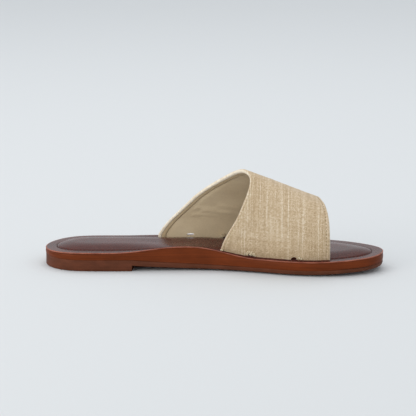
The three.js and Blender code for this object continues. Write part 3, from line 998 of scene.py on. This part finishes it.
@dataclass(frozen=True)
class Midsole:
    """The burnished layer between outsole and insole, raised at the arch."""

    last: Last
    board: BurnishedMidsole = BurnishedMidsole()
    bevel: float = 0.3 * MM
    belly: float = 0.25 * MM
    seam: float = 0.03 * MM

    bottom_shares = (0.97, 0.6, 0.3, 0)
    side_shares = (0.0, 0.12, 0.3, 0.5, 0.7, 0.88, 1.0)
    top_shares = (0, 0.3, 0.6, 0.8, 0.97)

    def bottom(self, x, y):
        """The face that lies on the outsole."""
        return self.last.underside(x) + self.last.outsole_thickness + self.seam

    def top(self, x, y):
        """The face that the insole lies on."""
        return self.last.footbed(x, y) - self.last.insole_edge - self.seam

    def build(self, slots: Sequence[bpy.types.Object]) -> bpy.types.Object:
        """Extrudes the midsole, cuts the strap's slots and dresses it."""
        rings, bevel = SoleRings(self.last), self.bevel
        loops = [rings.raised(rings.drawn_in(bevel, share), self.bottom) for share in self.bottom_shares]
        for share in self.side_shares:
            bulge = self.belly * math.sin(math.pi * share)
            height = lambda x, y, s=share: lerp(self.bottom(x, y) + bevel, self.top(x, y) - bevel, s)
            loops.append(rings.raised(rings.inset(-bulge), height))
        loops += [rings.raised(rings.drawn_in(bevel, share), self.top) for share in self.top_shares]
        piece = extruded("leatherboard_midsole", np.array(loops))
        cut(piece, slots)
        tidy_mesh(piece, smooth_degrees=38)
        dress(piece, [self.board.material()], "midsole", "midsole")
        return piece


@dataclass(frozen=True)
class Insole:
    """The leather footbed: a painted edge, a flat margin, a stitched groove and a padded middle."""

    last: Last
    leather: FootbedLeather = FootbedLeather()
    paint: EdgePaint = EdgePaint()
    thread: SewingThread = SewingThread("brown_bonded_thread", "#2a1512", "#4a2a22")
    margin: float = 7.6 * MM
    groove_width: float = 1.5 * MM
    groove_depth: float = 0.5 * MM
    pad_rise: float = 2.8 * MM
    pad_slope_width: float = 16 * MM
    lip_height: float = 0.6 * MM
    lip_place: float = 3.75 * MM
    lip_half_width: float = 0.45 * MM
    groove_round: float = 0.42
    paint_reach: float = 0.42 * MM
    paint_drop: float = 1.2
    bead: float = 0.22 * MM
    stitch_pitch: float = 3.4 * MM
    stitch_length: float = 2.3 * MM
    stitch_radius: float = 0.42 * MM

    slot_spans = {Side.MEDIAL: (0.524, 0.845)}
    lip_fade_in = (-0.004, 0.01)
    lip_fade_out = (-0.006, 0.004)
    bottom_shares = (0.97, 0.8, 0.6, 0.3, 0)
    bead_degrees = (-60, -25, 10, 45, 75)
    middle_shares = (0.06, 0.12, 0.2, 0.28, 0.36, 0.45, 0.55, 0.66, 0.78, 0.88, 0.95, 0.985, 0.997)

    def relief(self, distance: float) -> float:
        """The top's height over the flat margin at a distance in from the edge."""
        off = distance - self.margin - self.groove_width / 2
        groove = self.groove_depth * math.exp(-((off / (self.groove_round * self.groove_width)) ** 2))
        share = min(max((distance - self.margin) / self.pad_slope_width, 0), 1)
        return self.pad_rise * (1 - (1 - share) ** 2) - groove

    def beside_strap(self, x: np.ndarray, y: np.ndarray) -> np.ndarray:
        """1 where the leather is pushed up into a lip beside the strap's slot, and 0 off its ends."""
        share = np.zeros(x.shape)
        for side, (rear, front) in self.slot_spans.items():
            along = x / self.last.length
            enter = (rear + fade for fade in self.lip_fade_in)
            leave = (front + fade for fade in self.lip_fade_out)
            inside = smoothstep(along, *enter) * (1 - smoothstep(along, *leave))
            share = np.where(np.sign(y) == side.value, inside, share)
        return share

    def build(self, slots: Sequence[bpy.types.Object]) -> bpy.types.Object:
        """Extrudes the insole, cuts the strap's slots and dresses it."""
        last, rings = self.last, SoleRings(self.last)
        bottom = lambda x, y: last.footbed(x, y) - last.insole_edge
        loops = [rings.raised(rings.drawn_in(0, share), bottom) for share in self.bottom_shares]
        radius = last.insole_edge / 2
        for angle in np.radians(self.bead_degrees):
            out = self.bead + radius * (math.cos(angle) - 1)
            level = radius * (math.sin(angle) - 1)
            loops.append(rings.raised(rings.inset(-out), lambda x, y, d=level: last.footbed(x, y) + d))
        groove_end = self.margin + self.groove_width
        distances = [0.45 * MM, 1.2 * MM, 2.5 * MM, *np.arange(3.1, 4.7, 0.2) * MM, 5.4 * MM, 6.4 * MM]
        distances += list(np.linspace(self.margin - 0.5 * MM, groove_end + 0.3 * MM, 9))
        distances += list(np.linspace(groove_end + 0.8 * MM, groove_end + 7 * MM, 8))
        for distance in distances:
            level = self.relief(distance)
            lip = self.lip_height * math.exp(-(((distance - self.lip_place) / self.lip_half_width) ** 4))
            height = lambda x, y, d=level, p=lip: last.footbed(x, y) + d + p * self.beside_strap(x, y)
            loops.append(rings.raised(rings.inset(distance), height))
        inner = distances[-1]
        for share in self.middle_shares:
            ring = rings.drawn_in(inner, share)
            levels = np.array([self.relief(distance) for distance in last.distance_in(ring)])
            loops.append(rings.raised(ring, lambda x, y, d=levels: last.footbed(x, y) + d))
        piece = extruded("leather_insole", np.array(loops))
        cut(piece, slots)
        tidy_mesh(piece, smooth_degrees=50)
        dress(piece, [self.leather.material(), self.paint.material()], "insole", "insole")
        centres = face_values(piece, "center")
        centres[:, :2] += last.origin
        level = centres[:, 2] - last.footbed(centres[:, 0], centres[:, 1])
        # The rim's faces take the edge paint, whose lighter colour is partly a painted highlight.
        rim = (last.distance_in(centres) < self.paint_reach) & (level > -self.paint_drop * last.insole_edge)
        paint_faces(piece, 1, rim)
        return piece

    def stitches(self) -> bpy.types.Object:
        """Sews the stitches into the groove, all round."""
        last = self.last
        middle = self.margin + self.groove_width / 2
        line = spaced(SoleRings(last).inset(middle), 4000, closed=True)
        length = np.linalg.norm(np.diff(line, axis=0, append=line[:1]), axis=1).sum()
        count = round(length / self.stitch_pitch)
        points = spaced(line, count, closed=True)
        along = unit(np.roll(points, -1, axis=0) - np.roll(points, 1, axis=0))
        z = last.footbed(points[:, 0], points[:, 1]) + self.relief(middle) + 0.3 * self.stitch_radius
        spots = last.place(np.column_stack([points, z]))
        rise = np.gradient(z, np.arange(count)) / self.stitch_pitch
        template = stitch_shape(self.stitch_length, self.stitch_radius)
        up = Vector((0, 0, 1))
        places = [placed(spot, Vector((*way, slope)), up) for spot, way, slope in zip(spots, along, rise)]
        piece = copies(template, places, "insole_stitches")
        dress(piece, [self.thread.material()], "insole")
        return piece


class StitchRing(NamedTuple):
    """One ring of a stitch: its place by the stitch's length, its size and level by its radius."""

    place: float
    size: float
    level: float


STITCH_RINGS = (
    StitchRing(-0.5, 0.35, -1.3),
    StitchRing(-0.42, 0.8, -0.5),
    StitchRing(-0.2, 1.0, 0.0),
    StitchRing(0.2, 1.0, 0.0),
    StitchRing(0.42, 0.8, -0.5),
    StitchRing(0.5, 0.35, -1.3),
)
STITCH_SIDES = 6
STITCH_FLATNESS = 0.8


def stitch_shape(length: float, radius: float) -> bpy.types.Object:
    """Models one stitch along x: it rises out of its hole, lies on the surface and dives again."""
    angle = np.linspace(0, 2 * np.pi, STITCH_SIDES, endpoint=False)
    wide, high = radius * np.cos(angle), STITCH_FLATNESS * radius * np.sin(angle)
    rings = [
        np.column_stack([np.full(STITCH_SIDES, place * length), size * wide, size * high + radius * level])
        for place, size, level in STITCH_RINGS
    ]
    piece = extruded("stitch", np.array(rings))
    tidy_mesh(piece, smooth_degrees=80)
    return piece


def placed(spot: np.ndarray, along: Vector, up: Vector) -> Matrix:
    """The matrix that puts a shape at a spot with its x along a direction and its z about up."""
    x = Vector(along).normalized()
    y = Vector(up).cross(x).normalized()
    z = x.cross(y)
    turn = Matrix((x, y, z)).transposed().to_4x4()
    return Matrix.Translation(Vector(spot)) @ turn


class Crease(NamedTuple):
    """A soft trough in the strap from one place to another, by u over the foot and v to the front."""

    start: tuple[float, float]
    end: tuple[float, float]
    width: float
    depth: float


class Notch(NamedTuple):
    """A notch where the strap enters the insole: its place, its stretch along and up, and its lift."""

    at: float
    side: Side
    stretch: float
    rise: float
    lift: float


class Tuft(NamedTuple):
    """A fringe of loose yarn ends on the strap's foot: its place, strands, reach, height and depth in."""

    at: float
    side: Side
    strands: int
    reach: float
    height: float
    depth: float


@dataclass(frozen=True)
class Strap:
    """The woven band: linen folded round both edges and turned in, a lining, stitches and frayed notches."""

    form: StrapForm
    linen: SlubLinen = SlubLinen()
    lining_cloth: LiningCloth = LiningCloth()
    # The turned-in hem inside each fold is coloured a darker khaki than the lining: painted shade on the band
    # that faces into the strap.
    hem_cloth_with_painted_shade: LiningCloth = LiningCloth("hem_cloth_painted_shade", "#b7a07c", "#cbb692")
    loose_yarn: SewingThread = SewingThread("loose_linen_yarn", "#d9c59f", "#faeed3")
    wall: float = 2.2 * MM
    hem_width: float = 6 * MM
    hem_step: float = 0.7 * MM
    fold: float = 2.7 * MM
    cover_wall: float = 1.5 * MM
    stitch_line: float = 2.5 * MM
    stitch_dip: float = 0.4 * MM
    stitch_pitch: float = 2.6 * MM
    stitch_length: float = 1.7 * MM
    stitch_radius: float = 0.3 * MM
    row_spacing: float = 0.95 * MM
    columns: int = 84
    back_columns: int = 14
    notch_radius: float = 2.2 * MM
    slub_height: float = 0.14 * MM
    strand_radius: float = 0.25 * MM
    strand_points: int = 6
    notch_sides: int = 20
    slot_clearance: float = 0.12 * MM
    slot_points: int = 40
    cutter_rise: float = 2 * MM
    lining_spacing: float = 1.3 * MM
    lining_columns: int = 56
    slub_count: int = 150
    fine_points: int = 1500
    cloth_rows: int = 80
    cloth_columns: int = 24

    crease_field = (190 * MM, 80 * MM)
    fold_degrees = (90, 68, 45, 22, 0, -22, -45, -68, -90)
    leg_shares = (1.0, 0.6, 0.25)
    threads = {
        Edge.REAR: SewingThread("cream_sewing_thread", "#c2ae86", "#e2d4b2"),
        Edge.FRONT: SewingThread("tan_sewing_thread", "#7d6743", "#a8926a"),
    }
    notches = (
        Notch(0.614, Side.MEDIAL, 1.2, 1, 0.2 * MM),
        Notch(0.74, Side.MEDIAL, 1.1, 1, 0.4 * MM),
        Notch(0.424, Side.LATERAL, 1.35, 0.42, 1.7 * MM),
        Notch(0.528, Side.LATERAL, 0.9, 0.35, 0),
        Notch(0.632, Side.LATERAL, 1.1, 1, 0.3 * MM),
    )
    tufts = (
        Tuft(0.609, Side.MEDIAL, 30, 5 * MM, 5 * MM, 0),
        Tuft(0.757, Side.MEDIAL, 12, 2.6 * MM, 3.4 * MM, 0),
        Tuft(0.527, Side.MEDIAL, 14, 1.6 * MM, 2 * MM, 0),
        Tuft(0.446, Side.LATERAL, 14, 3 * MM, 2.4 * MM, 0),
        Tuft(0.52, Side.LATERAL, 30, 2.4 * MM, 4.4 * MM, 4.2 * MM),
        Tuft(0.632, Side.LATERAL, 14, 3 * MM, 2.6 * MM, 0),
    )
    cover_creases = (
        Crease((0.02, 0.1), (0.10, 0.22), 5 * MM, 0.35 * MM),
        Crease((0.02, 0.42), (0.09, 0.38), 5 * MM, 0.3 * MM),
        Crease((0.02, 0.72), (0.10, 0.78), 6 * MM, 0.3 * MM),
        Crease((0.97, 0.25), (0.88, 0.3), 5 * MM, 0.35 * MM),
        Crease((0.97, 0.6), (0.9, 0.56), 5 * MM, 0.3 * MM),
    )
    lining_creases = (
        Crease((0.878, 0.12), (0.884, 0.3), 2.4 * MM, 0.6 * MM),
        Crease((0.893, 0.2), (0.9, 0.44), 2.4 * MM, 0.7 * MM),
        Crease((0.914, 0.15), (0.913, 0.34), 2.2 * MM, 0.6 * MM),
        Crease((0.862, 0.3), (0.866, 0.46), 3 * MM, 0.4 * MM),
        Crease((0.06, 0.3), (0.08, 0.5), 2.6 * MM, 0.4 * MM),
        Crease((0.3, 0.35), (0.36, 0.62), 6 * MM, 0.4 * MM),
    )

    def trough(self, creases: Sequence[Crease], u: np.ndarray, v: np.ndarray) -> np.ndarray:
        """How deep the creases are at each place."""
        over, along = self.crease_field
        place = np.stack([u * over, v * along], axis=-1)
        depth = np.zeros(u.shape)
        for crease in creases:
            start, end = (np.array([p[0] * over, p[1] * along]) for p in (crease.start, crease.end))
            way = end - start
            share = np.clip(((place - start) @ way) / (way @ way), 0, 1)
            gap = np.linalg.norm(place - (start + share[..., None] * way), axis=-1)
            depth += crease.depth * np.exp(-((gap / (crease.width / 2)) ** 2)) * (1 - 0.4 * share)
        return depth

    def edge_profile(self) -> list[tuple[float, float]]:
        """One edge of the cover from its outer face to the hem's inner end: distance in, and depth."""
        full = self.wall + self.hem_step
        radius = full / 2
        angles = np.radians(self.fold_degrees)
        turned = [(radius - radius * math.cos(a), radius - radius * math.sin(a)) for a in angles]
        fold = self.fold
        hem = [(0.7 * fold, full), (0.93 * fold, full - 0.12 * MM), (fold, full - 0.7 * MM)]
        hem += [(fold + 0.05 * MM, full - 0.7 * MM), (fold + 0.4 * MM, full - 0.4 * MM)]
        hem += [(fold + 1 * MM, full - 0.28 * MM), (self.hem_width - 0.5 * MM, full - 0.3 * MM)]
        return turned + hem + [(self.hem_width, full - 0.6 * MM), (self.hem_width, self.cover_wall)]

    def outer_columns(self) -> list[tuple[float, float]]:
        """The outer face between fold and middle: distance in from an edge, and depth."""
        line, dip = self.stitch_line, self.stitch_dip
        groove = ((-0.6, 0), (-0.25, 0.6), (0, 1), (0.25, 0.6), (0.7, 0))
        return [(line + off * MM, share * dip) for off, share in groove]

    def section(self, width: np.ndarray) -> tuple[np.ndarray, np.ndarray, np.ndarray, np.ndarray]:
        """The cover's closed section for each row.

        Args:
            width: Each row's distance from rear edge to front edge.

        Returns:
            The share from rear to front and the depth of each point in each row, which of them are outer
            ones, and which lie on the turned-in hem.
        """
        profile, outer = self.edge_profile(), self.outer_columns()
        first = outer[-1][0] + 0.6 * MM
        shares, depths, is_outer, is_hem = [], [], [], []

        def add(share: np.ndarray, depth: float, out: bool, hem: bool) -> None:
            """Adds one point to each row."""
            for values, value in ((shares, share), (depths, depth), (is_outer, out), (is_hem, hem)):
                values.append(value)

        def take(points: Sequence[tuple[float, float]], edge: Edge, out: bool) -> None:
            """Adds points that are given by their distance from an edge and their depth."""
            for distance, depth in points:
                share = distance / width
                hem = not out and distance > self.fold
                add(share if edge is Edge.REAR else 1 - share, depth, out, hem)

        take(outer, Edge.REAR, True)
        for step in np.linspace(0, 1, self.columns):
            add(lerp(first / width, 1 - first / width, step), 0.0, True, False)
        take(outer[::-1], Edge.FRONT, True)
        take(profile, Edge.FRONT, False)
        for step in np.linspace(0, 1, self.back_columns)[1:-1]:
            add(lerp(1 - self.hem_width / width, self.hem_width / width, step), self.cover_wall, False, True)
        take(profile[::-1], Edge.REAR, False)
        return np.stack(shares, axis=1), np.array(depths), np.array(is_outer), np.array(is_hem)

    def laid(self, u: np.ndarray, v: np.ndarray, depth: np.ndarray) -> tuple[np.ndarray, np.ndarray]:
        """Lays a section over the foot and down into the slots.

        Args:
            u: The place over the foot of each row.
            v: The place from rear to front of each row's points.
            depth: The depth under the outer face of each row's points.

        Returns:
            The points in the row frame, and each one's place on the flat cloth.
        """
        u = np.broadcast_to(u[:, None], v.shape)
        face = self.form.point(u, v)
        points = face - self.form.outward(u, v) * depth[..., None]
        girth = np.linalg.norm(np.diff(face[..., 1:], axis=0), axis=-1)
        girth = np.concatenate([np.zeros((1, v.shape[1])), np.cumsum(girth, axis=0)])
        girth = girth - girth[len(girth) // 2]
        legs = np.array(self.leg_shares) * self.form.leg_length
        down = np.stack([0 * legs, 0 * legs, legs], axis=1)[:, None, :]
        points = np.concatenate([points[:1] - down, points, points[-1:] - down[::-1]])
        girth = np.concatenate([girth[:1] - legs[:, None], girth, girth[-1:] + legs[::-1, None]])
        cloth = np.stack([points[..., 0], girth, depth[0] * np.ones_like(girth)], axis=-1)
        return self.form.last.place(points), cloth

    def slubs(self, u: np.ndarray, v: np.ndarray) -> np.ndarray:
        """Heights of the thick yarns over the outer face, each a long low ridge over the foot."""
        draw = random.Random(20)
        height = np.zeros(v.shape)
        x = self.form.point(u, v)[..., 0]
        for _ in range(self.slub_count):
            place = draw.uniform(90 * MM, 220 * MM)
            middle, half = draw.uniform(0, 1), draw.uniform(0.03, 0.16)
            size = self.slub_height * draw.uniform(0.3, 1)
            across = np.exp(-(((x - place) / (0.8 * MM)) ** 2))
            height += size * across * np.exp(-(((u - middle) / half) ** 4))
        return np.minimum(height, 1.6 * self.slub_height)

    def cover(self) -> bpy.types.Object:
        """Makes the linen cover, with its folded edges."""
        rows = self.form.rows(self.row_spacing)
        v, depths, is_outer, is_hem = self.section(self.form.width(rows))
        u = np.broadcast_to(rows[:, None], v.shape)
        depth = np.broadcast_to(depths, v.shape) + 0.0
        inside = smoothstep(np.minimum(v, 1 - v), 0.02, 0.09)
        relief = self.trough(self.cover_creases, u, v) - self.slubs(u, v)
        depth += np.where(is_outer, relief * inside, 0)
        points, cloth = self.laid(rows, v, depth)
        piece = rolled_sheet("linen_strap", points, cloth, is_hem.astype(float))
        cut(piece, self.notch_bars())
        tidy_mesh(piece, smooth_degrees=50)
        dress(piece, [self.linen.material(), self.hem_cloth_with_painted_shade.material()], "strap", "strap")
        # Painted shade: the turned-in hem's faces take the darker hem cloth.
        paint_faces(piece, 1, face_means(piece, "turned_in") > 0.7)
        return piece

    def lining(self) -> bpy.types.Object:
        """Makes the lining inside the cover, between the two hems."""
        rows = self.form.rows(self.lining_spacing)
        width = self.form.width(rows)
        near, under = self.hem_width + 0.3 * MM, self.cover_wall + 0.05 * MM
        count, back = self.lining_columns, np.linspace(1, 0, 12)[1:-1]
        edge = [under, self.wall - 0.15 * MM, self.wall]
        spread = np.concatenate([[0, 0, 0.0015], np.linspace(0.004, 0.996, count), [0.9985, 1, 1], back])
        levels = np.concatenate([edge, np.full(count, self.wall), edge[::-1], np.full(len(back), under)])
        low, high = near / width, 1 - near / width
        v = lerp(low[:, None], high[:, None], spread[None])
        u = np.broadcast_to(rows[:, None], v.shape)
        soft = smoothstep(np.minimum(spread, 1 - spread), 0.0, 0.05) * (levels >= self.wall)
        relief = self.trough(self.lining_creases, u, v)
        bulge = 0.25 * MM * (1 + np.sin(8 * np.pi * u + 5 * v) * np.sin(3 * np.pi * v))
        depth = levels + soft * (bulge + relief)
        points, _ = self.laid(rows, v, depth)
        piece = rolled_sheet("strap_lining", points)
        cut(piece, self.notch_bars())
        tidy_mesh(piece, smooth_degrees=50)
        dress(piece, [self.lining_cloth.material()], "strap", "strap")
        return piece

    def base(self, share: float, side: Side) -> np.ndarray:
        """Where the strap's outer face meets the insole at a share of the length, in the last's own axes."""
        x = share * self.form.last.length
        y = self.form.last.edge_y(x, side) - side.value * self.form.slot_inset
        return np.array([x, y, self.form.last.footbed(x, y)])

    def notch_bars(self) -> list[bpy.types.Object]:
        """Bars that cut the relief notches through the strap."""
        bars = []
        for notch in self.notches:
            start_primitive()
            x, y, z = self.form.last.place(self.base(notch.at, notch.side))
            size = {"radius": self.notch_radius, "depth": 4 * self.form.slot_inset}
            bpy.ops.mesh.primitive_cylinder_add(vertices=self.notch_sides, location=(x, y, z), **size)
            bpy.ops.object.mode_set(mode="EDIT")
            bpy.ops.mesh.select_all(action="SELECT")
            bpy.ops.transform.rotate(value=math.pi / 2, orient_axis="X", center_override=(x, y, z))
            bpy.ops.transform.resize(value=(notch.stretch, 1, notch.rise), center_override=(x, y, z))
            bpy.ops.transform.translate(value=(0, 0, notch.lift))
            bpy.ops.object.mode_set(mode="OBJECT")
            bpy.ops.object.transform_apply(location=True, rotation=True, scale=True)
            bars.append(bpy.context.object)
        return bars

    def slot_cutters(self) -> list[bpy.types.Object]:
        """Upright prisms that cut the two slots which the strap's legs go down through."""
        cutters, clear = [], self.slot_clearance
        deep = self.wall + self.hem_step + clear
        for side in Side:
            u = 0.0 if side is Side.MEDIAL else 1.0
            width = float(self.form.width(np.array([u]))[0])
            v = np.linspace(-clear / width, 1 + clear / width, self.slot_points)
            face = self.form.point(np.full_like(v, u), v)
            out = self.form.outward(np.full_like(v, u), v.clip(0, 1))
            loop = np.concatenate([face + out * clear, (face - out * deep)[::-1]])
            low, high = loop - [0, 0, self.form.leg_length + clear], loop + [0, 0, self.cutter_rise]
            cutters.append(extruded("slot_cutter", self.form.last.place(np.array([low, high]))))
            tidy_mesh(cutters[-1], smooth_degrees=30)
        return cutters

    def stitches(self) -> list[bpy.types.Object]:
        """Sews a line of stitches along each edge of the cover."""
        pieces, pitch = [], self.stitch_pitch
        sunk = self.stitch_dip - 0.4 * self.stitch_radius
        for edge, thread in self.threads.items():

            def seam(u: np.ndarray) -> np.ndarray:
                """The seam's place from rear to front at u."""
                share = self.stitch_line / self.form.width(u)
                return share if edge is Edge.REAR else 1 - share

            fine = np.linspace(0.01, 0.99, self.fine_points)
            line = self.form.point(fine, seam(fine)) - self.form.outward(fine, seam(fine)) * sunk
            along = run(line)
            at = np.interp(np.arange(pitch, along[-1] - pitch, pitch), along, fine)
            spots = np.stack([np.interp(at, fine, column) for column in line.T], axis=1)
            ways, normals = np.gradient(spots, axis=0), self.form.outward(at, seam(at))
            spots = self.form.last.place(spots)
            places = [placed(s, Vector(w), Vector(n)) for s, w, n in zip(spots, ways, normals)]
            template = stitch_shape(self.stitch_length, self.stitch_radius)
            pieces.append(copies(template, places, "strap_stitches_" + edge.name.lower()))
            dress(pieces[-1], [thread.material()], "strap")
        return pieces

    def on_cover(self, places: np.ndarray, side: Side, heights: np.ndarray) -> np.ndarray:
        """Points on the cover's outer face, by shares of the sole's length and heights over the insole."""
        last, end = self.form.last, 0.0 if side is Side.MEDIAL else 1.0
        climb = np.linspace(0, 0.1, 60)
        rear = self.form.edge_x(Edge.REAR, np.array([end]))[0]
        front = self.form.edge_x(Edge.FRONT, np.array([end]))[0]
        points = []
        for place, height in zip(places, heights):
            share = (place * last.length - rear) / (front - rear)
            line = self.form.point(np.abs(end - climb), np.full(climb.shape, share))
            level = line[:, 2] - line[0, 2] + self.form.leg_stand
            point = [np.interp(height, level, column) for column in line.T]
            point[2] = line[0, 2] - self.form.leg_stand + height
            points.append(point)
        return np.array(points)

    def declare_cloth(self, piece: bpy.types.Object, hem: float) -> None:
        """Logs the size of the flat cloth that a piece is cut from, the strap's own size over the foot.

        Args:
            piece: The cover or the lining.
            hem: How much wider than the finished strap the cloth was cut, along each edge.
        """
        steps = (np.linspace(0, 1, count) for count in (self.cloth_rows, self.cloth_columns))
        u, v = np.meshgrid(*steps, indexing="ij")
        points = self.form.point(u, v)
        over, along = np.diff(points, axis=0), np.diff(points, axis=1)
        face = np.linalg.norm(np.cross(over[:, :-1], along[:-1]), axis=-1).sum()
        middle = np.linalg.norm(over[:, self.cloth_columns // 2], axis=-1).sum()
        length = middle + 2 * self.form.leg_length
        ends = self.form.width(np.array([0.0, 1.0]))
        width = self.form.width(u[:, 0]).max() + 2 * hem
        LOG.info("%s is cut %.0f by %.0f mm", piece.name, width / MM, length / MM)

    def frayed_ends(self) -> bpy.types.Object:
        """Leaves loose yarn ends round the notches, each a thin tapered strand."""
        draw = random.Random(4)
        strands, along = [], np.linspace(0, 1, self.strand_points)
        for tuft in self.tufts:
            for _ in range(tuft.strands):
                spread = draw.triangular(-1, 1)
                arch = 1 - 0.6 * spread**2
                top = tuft.height * arch * draw.uniform(0.45, 1)
                low = draw.uniform(0.3, 0.7) * top
                lean = along * draw.uniform(-0.3, 0.3)
                places = tuft.at + (spread + lean) * tuft.reach / self.form.last.length
                path = self.on_cover(places, tuft.side, lerp(top, low, along))
                proud = (draw.uniform(0.15, 0.4) + np.sin(np.pi * along) * draw.uniform(0.2, 0.9)) * MM
                path[:, 1] += tuft.side.value * (proud - tuft.depth)
                strands.append(strand_shape(self.form.last.place(path), self.strand_radius))
        piece = joined("frayed_yarn_ends", strands)
        dress(piece, [self.loose_yarn.material()], "strap")
        return piece


def strand_shape(path: np.ndarray, radius: float) -> bpy.types.Object:
    """Models one loose yarn end along a path: five sides, thinner towards its tip."""
    angle = np.linspace(0, 2 * np.pi, 5, endpoint=False)
    way = unit(path[-1] - path[0])
    side = unit(np.cross(way, [0.3, 0.2, 0.9]))
    other = np.cross(way, side)
    sizes = radius * np.linspace(1, 0.45, len(path))
    rings = [
        point + size * (np.cos(angle)[:, None] * side + np.sin(angle)[:, None] * other)
        for point, size in zip(path, sizes)
    ]
    return extruded("strand", np.array(rings))


class Softbox(NamedTuple):
    """One square soft light: its place, its side in metres, its power and its colour."""

    name: str
    place: tuple[float, float, float]
    size: float
    power: float
    colour: str


@dataclass(frozen=True)
class Studio:
    """The photograph's camera, a pale seamless floor and plain soft light."""

    azimuth: float = 3.0
    elevation: float = 11.7
    distance: float = 1.6
    focal_pixels: float = 2105.0
    picture: int = 416
    origin_pixel: tuple[float, float] = (214.0, 262.9)
    sensor: float = 36.0
    floor_size: float = 14.0
    floor_shade: str = "#d3d5d6"
    sky: str = "#f3f7fb"
    sky_strength: float = 0.92

    softboxes = (
        Softbox("top_softbox", (-0.2, 0.5, 1.6), 1.5, 9, "#ffffff"),
        Softbox("front_fill", (-1.3, -1.1, 0.5), 1.0, 9, "#fffaf2"),
    )

    def camera(self) -> None:
        """Places the camera so that the origin falls on its pixel of the photograph."""
        a, e = math.radians(self.azimuth), math.radians(self.elevation)
        back = Vector((math.sin(a) * math.cos(e), -math.cos(a) * math.cos(e), math.sin(e)))
        turn = back.to_track_quat("Z", "Y")
        right, up = turn @ Vector((1, 0, 0)), turn @ Vector((0, 1, 0))
        metres = self.distance / self.focal_pixels
        middle = self.picture / 2
        aim = right * (middle - self.origin_pixel[0]) * metres + up * (self.origin_pixel[1] - middle) * metres
        data = bpy.data.cameras.new("photo_camera")
        data.sensor_width = self.sensor
        data.lens = self.focal_pixels / self.picture * self.sensor
        camera = bpy.data.objects.new("photo_camera", data)
        camera.location = aim + back * self.distance
        camera.rotation_mode = "QUATERNION"
        camera.rotation_quaternion = turn
        bpy.context.collection.objects.link(camera)
        bpy.context.scene.camera = camera

    def floor(self) -> None:
        """Lays the pale floor, which fills the whole view."""
        start_primitive()
        bpy.ops.mesh.primitive_plane_add(size=self.floor_size)
        floor = bpy.context.object
        floor.name = "studio_floor"
        surface = Surface("matt_studio_paper")
        surface.set(Base_Color=linear(self.floor_shade), Roughness=0.9)
        floor.data.materials.append(surface.material)

    def hang(self, box: Softbox) -> None:
        """Hangs one soft light that faces the origin."""
        data = bpy.data.lights.new(box.name, "AREA")
        data.size, data.energy, data.color = box.size, box.power, linear(box.colour)[:3]
        light = bpy.data.objects.new(box.name, data)
        light.location = box.place
        light.rotation_mode = "QUATERNION"
        light.rotation_quaternion = Vector(box.place).to_track_quat("Z", "Y")
        bpy.context.collection.objects.link(light)

    def lights(self) -> None:
        """Lights the sandal from above and behind and from the left front, with a pale sky all round."""
        world = bpy.data.worlds.new("studio_sky")
        world.use_nodes = True
        background = world.node_tree.nodes["Background"].inputs
        background["Color"].default_value = linear(self.sky)
        background["Strength"].default_value = self.sky_strength
        bpy.context.scene.world = world
        for box in self.softboxes:
            self.hang(box)
        bpy.context.scene.view_settings.view_transform = "Standard"


def main() -> None:
    """Builds the studio and every sub-assembly in order."""
    logging.basicConfig(level=logging.INFO, format="%(message)s")
    studio = Studio()
    studio.camera()
    last = Last()
    strap = Strap(StrapForm(last))
    Outsole(last).build()
    Midsole(last).build(strap.slot_cutters())
    insole = Insole(last)
    insole.build(strap.slot_cutters())
    insole.stitches()
    cover = strap.cover()
    lining = strap.lining()
    on_cover = [*strap.stitches(), strap.frayed_ends()]
    strap.declare_cloth(cover, strap.hem_width)
    strap.declare_cloth(lining, -strap.hem_width)
    studio.floor()
    studio.lights()


if __name__ == "__main__":
    main()
